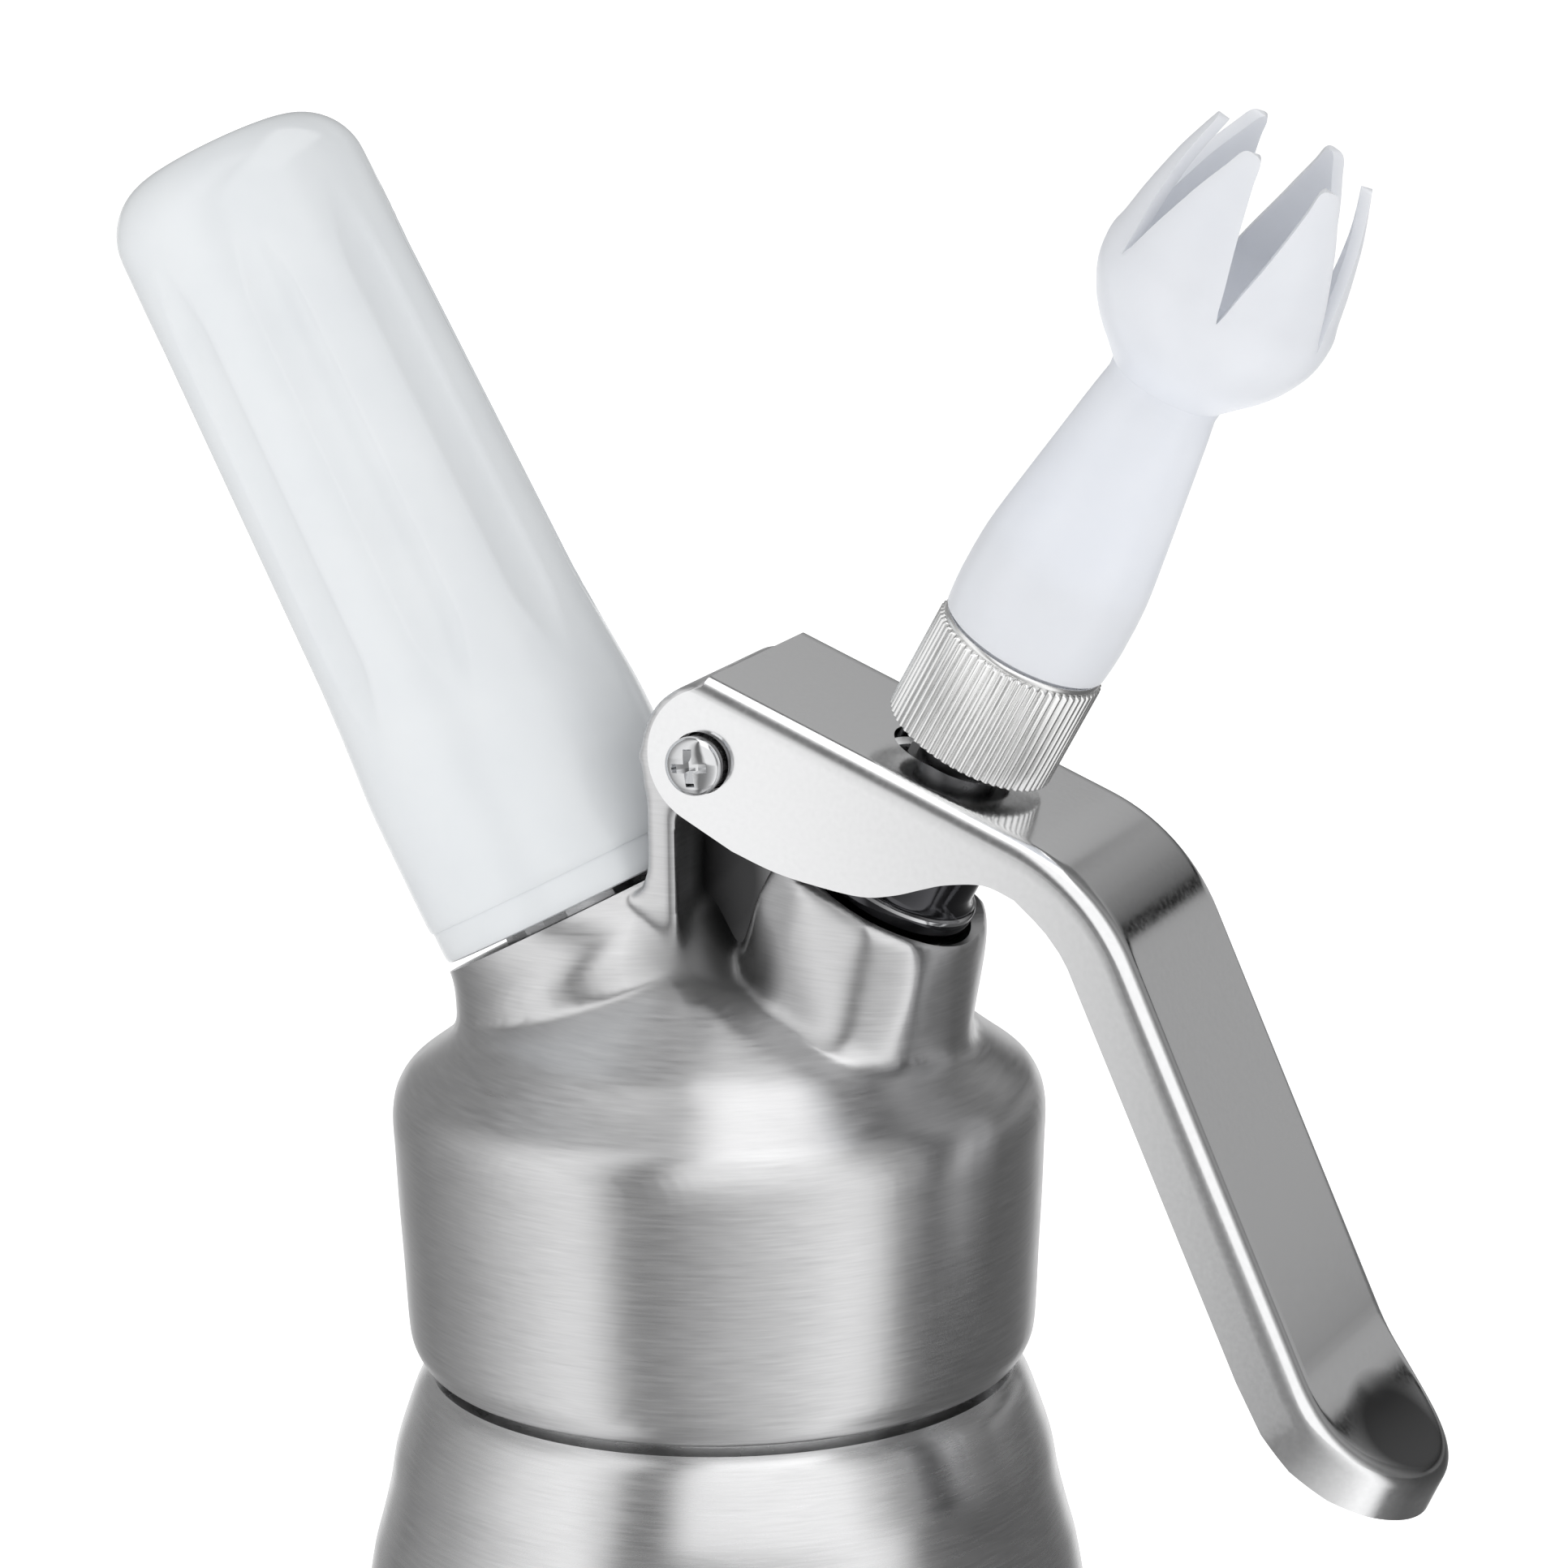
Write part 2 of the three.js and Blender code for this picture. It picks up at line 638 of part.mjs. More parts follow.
function makeChargerHolder() {
  const plain = holderBase + holderLength * holderPlainShare;
  const waist = holderBase + holderLength * holderFluteShare;
  const top = holderBase + holderLength;
  const cornerBase = top - holderTopEdge;
  const cornerRadius = holderTopRadius - holderTopEdge;
  const corner = holderCornerShares.map((share) => {
    const angle = share * Math.PI / 2;
    return [cornerRadius + holderTopEdge * Math.cos(angle), cornerBase + holderTopEdge * Math.sin(angle)];
  });
  const insertTop = holderBase + holderBaseEdge + insertLength + seatGap;
  const bulbBore = chargerRadius + holderBoreGap;
  const floor = chargerMouth + chargerLength + seatGap;
  const shell = turned([
    [holderBore, holderBase], [holderBaseRadius - holderBaseEdge, holderBase],
    [holderBaseRadius, holderBase + holderBaseEdge], [holderBaseRadius, plain],
    [holderWaistRadius, waist], [holderTopRadius, cornerBase], ...corner, [0, top],
    [0, floor], [bulbBore, floor], [bulbBore, insertTop],
    [holderBore, insertTop], [holderBore, holderBase],
  ], largeFacets);
  const flutes = Array.from({ length: fluteCount }, (_, index) => holderFlute(index));
  return cut(shell, ...flutes);
}

// Valve: guide bush, stem, seals, spring, collar and clip
function makeValveGuide() {
  const bottom = stemSeatHeight + sealRingThickness + 2 * seatGap;
  const chamberTop = stemPortHeight + stemPortRadius * 2;
  const bore = stemRadius + runningGap;
  const chamber = stemRadius + chamberGap;
  return turned([
    [chamber, bottom], [guideRadius, bottom], [guideRadius, springBoreFloor + seatGap],
    [guideFlangeRadius, springBoreFloor + seatGap], [guideFlangeRadius, guideTop],
    [bore, guideTop], [bore, chamberTop], [chamber, chamberTop], [chamber, bottom],
  ], middleFacets);
}

function makeValveStem() {
  const grooveTop = collarTop + seatGap + clipThickness + 2 * runningGap;
  const ringRoot = stemRadius - slideRingThickness + runningGap;
  const slideTop = slideRingHeight + slideRingThickness + 2 * runningGap;
  const hub = stemPortHeight - stemPortRadius * 2;
  const body = turned([
    [0, stemFootHeight], [stemFootRadius - seatGap, stemFootHeight], [stemFootRadius, stemSeatHeight],
    [stemRadius, stemSeatHeight], [stemRadius, slideRingHeight], [ringRoot, slideRingHeight],
    [ringRoot, slideTop], [stemRadius, slideTop], [stemRadius, collarTop + seatGap],
    [stemRadius - clipGrooveDepth, collarTop + seatGap], [stemRadius - clipGrooveDepth, grooveTop],
    [stemRadius, grooveTop], [stemRadius, spigotTop - seatGap], [stemBoreRadius, spigotTop - seatGap],
    [stemBoreRadius, hub], [0, hub],
  ], smallFacets);
  const port = disc(stemPortRadius, -guideRadius, guideRadius).rotateX(Math.PI / 2);
  return cut(body, port.translate(0, 0, stemPortHeight));
}

const makeStemSeal = () => ring(
  stemRadius + runningGap, stemFootRadius, stemSeatHeight + seatGap,
  stemSeatHeight + seatGap + sealRingThickness);

const makeSlideRing = () => ring(
  stemRadius - slideRingThickness + 2 * runningGap, stemRadius,
  slideRingHeight + runningGap, slideRingHeight + runningGap + slideRingThickness);

function makeCollar() {
  const bore = stemRadius + seatGap;
  const wall = collarWall;
  return turned([
    [bore, collarFloor - wall], [collarRimRadius - wall, collarFloor - wall], [collarRimRadius, collarFloor],
    [collarRimRadius, collarRimHeight], [collarRimRadius - wall, collarRimHeight],
    [collarRimRadius - wall - wall / 2, collarFloor + wall / 2], [collarHubRadius, collarFloor],
    [collarHubRadius, collarTop], [bore, collarTop], [bore, collarFloor - wall],
  ], middleFacets);
}

const makeClip = () => ring(
  stemRadius - clipGrooveDepth + runningGap, clipRadius,
  collarTop + seatGap + runningGap, collarTop + seatGap + runningGap + clipThickness);

function makeValveSpring() {
  const steps = Math.round(springCurls * springStepsPerCurl);
  const rings = [];
  for (let step = 0; step <= steps; step += 1) {
    const angle = step / springStepsPerCurl * 2 * Math.PI;
    const height = springFoot + (springHead - springFoot) * step / steps;
    const section = [];
    for (let side = 0; side < springSides; side += 1) {
      const around = side / springSides * 2 * Math.PI;
      const radius = springRadius + springWireRadius * Math.cos(around);
      section.push(new THREE.Vector3(
        radius * Math.cos(angle), radius * Math.sin(angle), height - springWireRadius * Math.sin(around)));
    }
    rings.push(section);
  }
  console.log(`valve_spring least gap between curls ${leastCurlGap(rings).toFixed(2)} mm`);
  return tubeThrough(rings);
}

// Least distance between points of the coil that lie at least half a curl apart
function leastCurlGap(rings) {
  let least = Infinity;
  for (let first = 0; first < rings.length; first += 1) {
    for (let second = first + springStepsPerCurl / 2; second < rings.length; second += 1) {
      for (const here of rings[first]) {
        for (const there of rings[second]) least = Math.min(least, here.distanceTo(there));
      }
    }
  }
  return least;
}

// Knurled adapter, its seal and the washer under the tip
function makeTipAdapter() {
  const shape = new THREE.Shape();
  for (let tooth = 0; tooth < knurlCount * 2; tooth += 1) {
    const radius = knurlRadius - (tooth % 2) * knurlDepth;
    const angle = tooth / knurlCount * Math.PI;
    const point = [radius * Math.cos(angle), radius * Math.sin(angle)];
    if (tooth === 0) shape.moveTo(...point);
    else shape.lineTo(...point);
  }
  const knurl = new THREE.ExtrudeGeometry(shape, { depth: knurlLength - 2 * knurlLip, bevelEnabled: false });
  knurl.translate(0, 0, adapterBottom + knurlLip);
  const lip = knurlRadius - knurlDepth;
  const recess = tipBaseRadius + seatGap;
  const core = turned([
    [0, adapterBottom], [lip - knurlLip, adapterBottom], [lip, adapterBottom + knurlLip],
    [lip, ringTop - knurlLip], [lip - knurlLip / 4, ringTop], [recess - knurlLip, ringTop],
    [recess - knurlLip, ringTop - adapterRecessDepth], [spigotRadius, ringTop - adapterRecessDepth],
    [spigotRadius, spigotTop], [0, spigotTop],
  ], middleFacets);
  const stemBore = disc(stemRadius + seatGap, adapterBottom - cutOverrun, spigotTop + cutOverrun);
  const sealBore = disc(
    stemRadius + adapterSealThickness + seatGap, adapterBottom - cutOverrun,
    adapterBottom + adapterSealThickness + 2 * seatGap);
  const thread = threadRidge(
    spigotRadius, spigotRadius + tipThreadDepth, tipThreadPitch, tipThreadTurns,
    ringTop + tipThreadPitch);
  return cut(join(knurl, core, thread), stemBore, sealBore);
}

const makeAdapterSeal = () => ring(
  stemRadius + seatGap, stemRadius + adapterSealThickness,
  adapterBottom + seatGap, adapterBottom + seatGap + adapterSealThickness);

const makeTipWasher = () => ring(
  stemBoreRadius, spigotRadius - seatGap, spigotTop + seatGap, spigotTop + seatGap + tipWasherThickness);

// Decorator tip with its six petals
function tipOutline() {
  const barrel = tipBarrelShares.map(
    ([radius, height]) => [radius * tipBaseRadius, ringTop + height * tipNeckHeight]);
  const cupHeight = tipLength - tipNeckHeight;
  const cup = cupShares.map(
    ([radius, height]) => [radius * cupRadius, ringTop + tipNeckHeight + height * cupHeight]);
  const inside = cup.slice(3).map(([radius, height]) => [radius - tipWall, height]).reverse();
  const [, firstHeight] = inside[inside.length - 1];
  const bore = tipNeckRadius - tipWall * 2;
  const foot = ringTop - adapterRecessDepth + seatGap;
  return [
    [tipBore, foot], [tipBaseRadius - knurlLip, foot], [tipBaseRadius - knurlLip, ringTop + seatGap],
    ...barrel, [tipNeckRadius, ringTop + tipNeckHeight], ...cup,
    ...inside, [bore, firstHeight], [bore, tipFloor + tipWall], [stemBoreRadius, tipFloor],
    [tipBore, tipFloor], [tipBore, foot],
  ];
}

function petalNotch(index) {
  const top = ringTop + tipLength;
  const rimRadius = cupShares[cupShares.length - 1][0] * cupRadius;
  const gap = 2 * Math.PI * rimRadius / petalCount - petalTipWidth;
  const above = tipWall;
  const bottom = ringTop + notchHeight;
  const widening = gap / 2 * (top + above - bottom) / (top - bottom);
  const shape = new THREE.Shape([
    new THREE.Vector2(0, bottom), new THREE.Vector2(widening, top + above),
    new THREE.Vector2(-widening, top + above),
  ]);
  const wedge = new THREE.ExtrudeGeometry(shape, { depth: cupRadius + cutOverrun, bevelEnabled: false });
  wedge.rotateX(Math.PI / 2).rotateZ(Math.PI / 2 + petalTurn + (index + 0.5) * 2 * Math.PI / petalCount);
  return wedge;
}

function makeDecoratorTip() {
  const notches = Array.from({ length: petalCount }, (_, index) => petalNotch(index));
  const body = cut(turned(tipOutline(), middleFacets), ...notches);
  const thread = threadRidge(
    tipBore, spigotRadius + threadClearance, tipThreadPitch, tipThreadTurns - ridgeRootShare,
    ringTop + tipThreadPitch + tipThreadPitch / 2);
  return join(body, thread);
}

// Lever: one sheet pressed into a channel, with two ears, a bent arm and a turned-up round end
const armAlong = new THREE.Vector2(Math.cos(armBend), -Math.sin(armBend));
const armOut = new THREE.Vector2(Math.sin(armBend), Math.cos(armBend));
const armEndTurn = armTurnUpLength / armTurnUpRadius;

// The bend a given depth under the lever's outer face
function bendLine(depth) {
  const tangent = armBendRadius * Math.tan(armBend / 2);
  const centre = new THREE.Vector2(plateLength - tangent, plateRise - armBendRadius);
  const radius = armBendRadius - depth;
  const line = [];
  for (let step = 0; step <= leverBendSteps; step += 1) {
    const angle = armBend * step / leverBendSteps;
    line.push([centre.x + radius * Math.sin(angle), centre.y + radius * Math.cos(angle)]);
  }
  return line;
}

// A point of the turned-up end, a given depth under the outer face, after turning by an angle
function turnUpPoint(depth, angle) {
  const radius = armTurnUpRadius + depth;
  return new THREE.Vector2(plateLength, plateRise)
    .addScaledVector(armAlong, armLength - armTurnUpLength + radius * Math.sin(angle))
    .addScaledVector(armOut, armTurnUpRadius - radius * Math.cos(angle));
}

// The turned-up end's line a given depth under the outer face, a little longer than the sheet
function turnUpLine(depth) {
  const reach = armEndTurn * armTurnUpReachShare;
  const line = [];
  for (let step = 0; step <= leverTurnUpSteps; step += 1) {
    const point = turnUpPoint(depth, reach * step / leverTurnUpSteps);
    line.push([point.x, point.y]);
  }
  return line;
}

// The arm seen square to its leaning end: straight sides and a half round, set in by an inset
function armPlan(inset) {
  const half = leverWidth / 2;
  const shape = new THREE.Shape();
  shape.moveTo(-armLength * 2, inset - half);
  shape.lineTo(-half, inset - half);
  shape.absarc(-half, 0, half - inset, -Math.PI / 2, Math.PI / 2, false);
  shape.lineTo(-armLength * 2, half - inset);
  const depth = armLength * 3;
  const plan = new THREE.ExtrudeGeometry(shape, { depth, bevelEnabled: false, curveSegments: leverEndSteps });
  plan.translate(0, 0, -depth / 2);
  const tip = turnUpPoint(0, armEndTurn);
  const frame = new THREE.Matrix4().makeRotationY(armBend - armEndTurn * armEndLeanShare);
  return placed(plan, frame.setPosition(tip.x, 0, tip.y));
}

function leverSideOutline() {
  const ear = [];
  for (let step = 0; step <= earSteps; step += 1) {
    const angle = Math.PI * (0.5 + step / earSteps);
    ear.push([earOffset + earRadius * Math.cos(angle), earRise + earRadius * Math.sin(angle)]);
  }
  const edge = flangeEdgeShares.map(([along, up]) => [along * flangeReach, up * flangeDrop]);
  const armEdge = [...bendLine(armDepth).slice(-1), ...turnUpLine(armEndDepth).slice(leverTurnUpSteps / 2)];
  const beyond = armEdge[armEdge.length - 1];
  const above = plateRise + armDepth;
  return [
    ...ear, ...edge, ...armEdge, [beyond[0] + armLength, beyond[1]],
    [beyond[0] + armLength, above], [earOffset, above],
  ];
}

function leverSolid(depth, width, edge) {
  const face = [[plateStart, plateRise - depth], ...bendLine(depth), ...turnUpLine(depth)];
  const [lastX, lastZ] = face[face.length - 1];
  const below = lastZ - armLength;
  const back = earOffset - earRadius - leverWidth;
  const start = depth > 0
    ? [[back, plateRise + leverWidth], [plateStart, plateRise + leverWidth]]
    : [[back, plateRise]];
  const outline = [...start, ...face, [lastX, below], [back, below]];
  return slab(outline.reverse(), width, edge, leverEdgeSteps);
}

function makeLever() {
  const outer = keep(leverSolid(0, leverWidth, leverEdgeRadius), armPlan(0));
  const inner = keep(leverSolid(leverSheet, 2 * leverInnerHalf, 0), armPlan(leverSheet));
  const clip = slab(leverSideOutline().reverse(), leverWidth * 2);
  const pressed = keep(cut(outer, inner), clip);
  const pivot = disc(sleeveRadius + runningGap, -leverWidth, leverWidth).rotateX(Math.PI / 2);
  const slot = new THREE.Shape();
  slot.absarc(0, 0, slotHalf, -Math.PI / 2, Math.PI / 2, false);
  slot.absarc(-slotStretch, 0, slotHalf, Math.PI / 2, 3 * Math.PI / 2, false);
  const depth = adapterBottom - collarFloor;
  const settings = { depth, bevelEnabled: false, curveSegments: slotSteps };
  const slotCutter = new THREE.ExtrudeGeometry(slot, settings);
  slotCutter.translate(0, 0, collarFloor);
  const stemInLever = leverFrame.clone().invert().multiply(nozzleFrame);
  return cut(pressed, pivot, placed(slotCutter, stemInLever));
}

// Pivot sleeve, washers and screws, laid along Z and turned to lie across the head
const sleeveHalf = leverWidth / 2 + seatGap;
const washerFoot = sleeveHalf + seatGap;
const screwSeat = washerFoot + washerThickness + seatGap;

const makePivotSleeve = () => ring(sleeveBoreRadius, sleeveRadius, -sleeveHalf, sleeveHalf);
const makeWasher = () => ring(
  screwShankRadius + runningGap, washerRadius, washerFoot, washerFoot + washerThickness);

function makeScrew() {
  const head = screwHeadShares.map(
    ([radius, height]) => [radius * screwHeadRadius, screwSeat + height * screwHeadHeight]);
  const top = screwSeat + screwHeadHeight;
  const body = turned([
    [0, screwSeat - screwLength], [screwShankRadius, screwSeat - screwLength], [screwShankRadius, screwSeat],
    ...head, [0, top],
  ], smallFacets);
  const bar = new THREE.BoxGeometry(screwRecessLength, screwRecessWidth, screwRecessDepth * 2);
  bar.translate(0, 0, top);
  const crossBar = bar.clone().rotateZ(Math.PI / 2);
  return cut(body, bar, crossBar);
}

// Materials
function finish(color, roughness, metalness) {
  return new THREE.MeshStandardMaterial({ color, roughness, metalness });
}

const finishes = {
  castAluminium: () => finish(0xb9bbbd, 0.42, 1),
  sheetSteel: () => finish(0xc2c3c5, 0.22, 1),
  chrome: () => finish(0xd8dadc, 0.08, 1),
  knurledAluminium: () => finish(0xd2d2d0, 0.3, 1),
  steel: () => finish(0x9fa1a3, 0.35, 1),
  brass: () => finish(0xb8964e, 0.35, 1),
  whitePlastic: () => finish(0xe9eff1, 0.25, 0),
  tipPlastic: () => finish(0xe2e5f0, 0.35, 0),
  rubber: () => finish(0x35383a, 0.8, 0),
  silicone: () => finish(0xb34a3c, 0.6, 0),
};

function piece(name, geometry, finishName) {
  const mesh = new THREE.Mesh(geometry, finishes[finishName]());
  mesh.name = name;
  return mesh;
}

// The assembly
const dispenser = new THREE.Group();
dispenser.add(
  piece('bottle', makeBottle(), 'castAluminium'),
  piece('head_gasket', makeHeadGasket(), 'silicone'),
  piece('head', makeHead(), 'castAluminium'),
);

const chargerSide = new THREE.Group();
chargerSide.position.set(0, 0, axesHeight);
chargerSide.rotation.y = -chargerTilt;
chargerSide.add(
  piece('charger_port', makeChargerPort(), 'steel'),
  piece('piercing_pin', makePiercingPin(), 'steel'),
  piece('port_gasket', makePortGasket(), 'rubber'),
  piece('non_return_valve', makeCheckValve(), 'rubber'),
  piece('gas_charger', makeGasCharger(), 'steel'),
  piece('holder_insert', makeHolderInsert(), 'knurledAluminium'),
  piece('charger_holder', makeChargerHolder(), 'whitePlastic'),
);
dispenser.add(chargerSide);

const valveSide = new THREE.Group();
valveSide.position.set(0, 0, axesHeight);
valveSide.rotation.y = nozzleTilt;
valveSide.add(
  piece('valve_guide', makeValveGuide(), 'brass'),
  piece('valve_stem', makeValveStem(), 'steel'),
  piece('stem_seal', makeStemSeal(), 'rubber'),
  piece('stem_slide_ring', makeSlideRing(), 'rubber'),
  piece('valve_spring', makeValveSpring(), 'steel'),
  piece('valve_collar', makeCollar(), 'chrome'),
  piece('collar_clip', makeClip(), 'steel'),
  piece('tip_adapter', makeTipAdapter(), 'knurledAluminium'),
  piece('adapter_seal', makeAdapterSeal(), 'rubber'),
  piece('tip_washer', makeTipWasher(), 'rubber'),
  piece('decorator_tip', makeDecoratorTip(), 'tipPlastic'),
);
dispenser.add(valveSide);

const leverPivot = new THREE.Group();
leverPivot.position.set(pivotX, 0, pivotHeight);
const lever = piece('lever', makeLever(), 'sheetSteel');
lever.rotation.y = plateTilt;
leverPivot.add(lever);
const sleeve = piece('pivot_sleeve', makePivotSleeve(), 'steel');
sleeve.rotation.x = Math.PI / 2;
leverPivot.add(sleeve);
for (const [side, turn] of [['near', 1], ['far', -1]]) {
  const across = new THREE.Group();
  across.rotation.x = turn * Math.PI / 2;
  across.add(piece(`pivot_washer_${side}`, makeWasher(), 'steel'));
  across.add(piece(`pivot_screw_${side}`, makeScrew(), 'steel'));
  leverPivot.add(across);
}
dispenser.add(leverPivot);

export default dispenser;
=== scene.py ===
# %% [markdown]
# # A whipped cream dispenser, dressed for its photograph
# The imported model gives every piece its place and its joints. This lesson puts smooth, detailed
# pieces over the faceted ones, gives each its finish, and lights the whole as a product shot.
# Everything is modelled in millimetres and shrunk to metres in the last step of each piece.

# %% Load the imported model
import math

import bmesh
import bpy
from mathutils import Matrix, Vector


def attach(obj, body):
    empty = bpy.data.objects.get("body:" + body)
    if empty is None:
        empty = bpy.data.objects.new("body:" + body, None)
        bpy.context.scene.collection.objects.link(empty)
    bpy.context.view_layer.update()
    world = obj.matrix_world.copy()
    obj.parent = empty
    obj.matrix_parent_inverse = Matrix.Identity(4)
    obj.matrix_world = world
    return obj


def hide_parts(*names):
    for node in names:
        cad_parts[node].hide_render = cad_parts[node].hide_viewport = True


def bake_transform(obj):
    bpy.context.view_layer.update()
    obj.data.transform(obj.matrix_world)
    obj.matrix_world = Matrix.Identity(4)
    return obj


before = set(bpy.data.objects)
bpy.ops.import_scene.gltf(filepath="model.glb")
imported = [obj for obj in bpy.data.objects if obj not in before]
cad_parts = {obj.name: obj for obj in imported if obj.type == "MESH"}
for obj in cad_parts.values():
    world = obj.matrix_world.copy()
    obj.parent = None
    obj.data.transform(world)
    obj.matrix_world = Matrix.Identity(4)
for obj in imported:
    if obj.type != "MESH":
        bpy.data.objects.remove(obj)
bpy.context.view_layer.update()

# %% [markdown]
# ## The camera
# The picture was taken from the right and a little above, from about two thirds of a metre, with
# a long lens that tilts less than a degree. The three directions of the camera are worked out
# from those angles, so the same numbers could be read off a real tripod.

# %% Place the camera
CAMERA_AZIMUTH = math.radians(24.7)
CAMERA_HEIGHT_ANGLE = math.radians(13.6)
CAMERA_ROLL = math.radians(-0.72)
CAMERA_DISTANCE = 0.641
SENSOR_WIDTH = 36
LENS_LENGTH = 139.8
CAMERA_TARGET = Vector((0.0081, 0, 0.2136))


def camera_directions():
    level = math.cos(CAMERA_HEIGHT_ANGLE)
    back = Vector((
        math.sin(CAMERA_AZIMUTH) * level, -math.cos(CAMERA_AZIMUTH) * level, math.sin(CAMERA_HEIGHT_ANGLE)))
    right = Vector((math.cos(CAMERA_AZIMUTH), math.sin(CAMERA_AZIMUTH), 0))
    up = back.cross(right)
    rolled_right = right * math.cos(CAMERA_ROLL) + up * math.sin(CAMERA_ROLL)
    rolled_up = up * math.cos(CAMERA_ROLL) - right * math.sin(CAMERA_ROLL)
    return rolled_right, rolled_up, back


right, up, back = camera_directions()
camera = bpy.data.objects.new("camera", bpy.data.cameras.new("camera"))
bpy.context.scene.collection.objects.link(camera)
camera.data.sensor_width = SENSOR_WIDTH
camera.data.lens = LENS_LENGTH
camera_turn = Matrix((right, up, back)).transposed().to_4x4()
camera.matrix_world = Matrix.Translation(CAMERA_TARGET + back * CAMERA_DISTANCE) @ camera_turn
bpy.context.scene.camera = camera
print("camera at", [round(v, 3) for v in camera.location])

# %% [markdown]
# ## Working frames
# The charger holder and the nozzle stand on two tilted axes that meet inside the head, and the
# lever is laid out along its own top plate. A matrix for each lets a piece be drawn upright,
# with heights measured along its own axis, and then be put in its place in one move.

# %% Frames of the tilted axes
AXES_HEIGHT = 168
NOZZLE_TILT = math.radians(29.35)
CHARGER_TILT = math.radians(27.9)
LEVER_TILT = math.radians(22)
PIVOT = Vector((4.6, 0, 218.5))
UPRIGHT = Matrix.Identity(4)
SIDEWAYS = Matrix.Rotation(math.pi / 2, 4, "X")
NOZZLE = Matrix.Translation((0, 0, AXES_HEIGHT)) @ Matrix.Rotation(NOZZLE_TILT, 4, "Y")
CHARGER = Matrix.Translation((0, 0, AXES_HEIGHT)) @ Matrix.Rotation(-CHARGER_TILT, 4, "Y")
LEVER = Matrix.Translation(PIVOT) @ Matrix.Rotation(LEVER_TILT, 4, "Y")
PIVOT_AXIS = Matrix.Translation(PIVOT) @ SIDEWAYS

# %% [markdown]
# ## Helpers for turned and sawn shapes
# Most of the pieces come off a lathe, so the main helper draws half a section as a chain of
# edges and spins it. A second one extrudes a side view into a plate, and a third smooths a
# coarse line of points into a flowing one before it is used.


# %% Lines, turned shapes and plates
def flowing(points, steps=6):
    """The same line with steps points between each two, on a curve through all of them."""
    ends = [points[0], *points, points[-1]]
    line = []
    for before, here, there, after in zip(ends, ends[1:], ends[2:], ends[3:]):
        for step in range(steps):
            t = step / steps
            line.append(tuple(
                0.5 * (2 * b + (c - a) * t + (2 * a - 5 * b + 4 * c - d) * t * t
                       + (3 * b - a - 3 * c + d) * t ** 3)
                for a, b, c, d in zip(before, here, there, after)))
    return [*line, tuple(points[-1])]


def corner_arc(centre, radius, first, last, steps=6):
    """Points on an arc, its angles in degrees from the outward direction."""
    turn = [math.radians(first + (last - first) * step / steps) for step in range(steps + 1)]
    return [(centre[0] + radius * math.cos(a), centre[1] + radius * math.sin(a)) for a in turn]


def of_kind(elements, kind):
    return [element for element in elements if isinstance(element, kind)]


def turned(section, steps=128, closed=False, place=UPRIGHT):
    bm = bmesh.new()
    chain = [bm.verts.new((radius, 0, height)) for radius, height in section]
    pairs = list(zip(chain, chain[1:])) + ([(chain[-1], chain[0])] if closed else [])
    edges = [bm.edges.new(pair) for pair in pairs]
    bmesh.ops.spin(
        bm, geom=chain + edges, cent=(0, 0, 0), axis=(0, 0, 1), angle=2 * math.pi, steps=steps,
        use_merge=True, use_duplicate=False)
    bmesh.ops.remove_doubles(bm, verts=bm.verts, dist=1e-4)
    bmesh.ops.recalc_face_normals(bm, faces=bm.faces)
    bmesh.ops.transform(bm, matrix=place, verts=bm.verts)
    return bm


def drawn_out(corners, move):
    """A plate: the face with these corners, drawn out along move."""
    bm = bmesh.new()
    face = bm.faces.new([bm.verts.new(corner) for corner in corners])
    swept = bmesh.ops.extrude_face_region(bm, geom=[face])["geom"]
    bmesh.ops.translate(bm, vec=move, verts=of_kind(swept, bmesh.types.BMVert))
    bmesh.ops.recalc_face_normals(bm, faces=bm.faces)
    return bm


def sawn(side_view, width, place=UPRIGHT):
    """A side view of (x, z) points, as thick as width and centred on y = 0."""
    bm = drawn_out([(x, -width / 2, z) for x, z in side_view], (0, width, 0))
    bmesh.ops.transform(bm, matrix=place, verts=bm.verts)
    return bm


def rod(radius, bottom, top, steps=64, place=UPRIGHT):
    return turned([(0, bottom), (radius, bottom), (radius, top), (0, top)], steps, place=place)


# %% [markdown]
# ## Helpers that join and cut
# Cast and moulded pieces are easier to think of as simple shapes added together and bored out.
# Blender's Boolean modifier does that on objects, so these helpers wrap a mesh in an object for a
# moment, let the modifier work, and hand the result back as a mesh that can be edited further.


# %% Modifiers applied to a mesh in the making
def with_modifier(bm, kind, settings):
    held = object_from(bm, "work")
    modifier = held.modifiers.new("work", kind)
    for name, value in settings.items():
        setattr(modifier, name, value)
    result = bmesh.new()
    shown = held.evaluated_get(bpy.context.evaluated_depsgraph_get())
    result.from_mesh(shown.to_mesh())
    shown.to_mesh_clear()
    discard(held)
    return result


def discard(scrap):
    mesh = scrap.data
    bpy.data.objects.remove(scrap)
    bpy.data.meshes.remove(mesh)


def object_from(bm, name):
    mesh = bpy.data.meshes.new(name)
    bm.to_mesh(mesh)
    bm.free()
    made = bpy.data.objects.new(name, mesh)
    bpy.context.scene.collection.objects.link(made)
    return made


def combined(first, second, how):
    tool = object_from(second, "tool")
    result = with_modifier(first, "BOOLEAN", {"operation": how, "solver": "EXACT", "object": tool})
    discard(tool)
    return result


def joined(first, *others):
    for other in others:
        first = combined(first, other, "UNION")
    return first


def cut(first, *others):
    for other in others:
        first = combined(first, other, "DIFFERENCE")
    return first


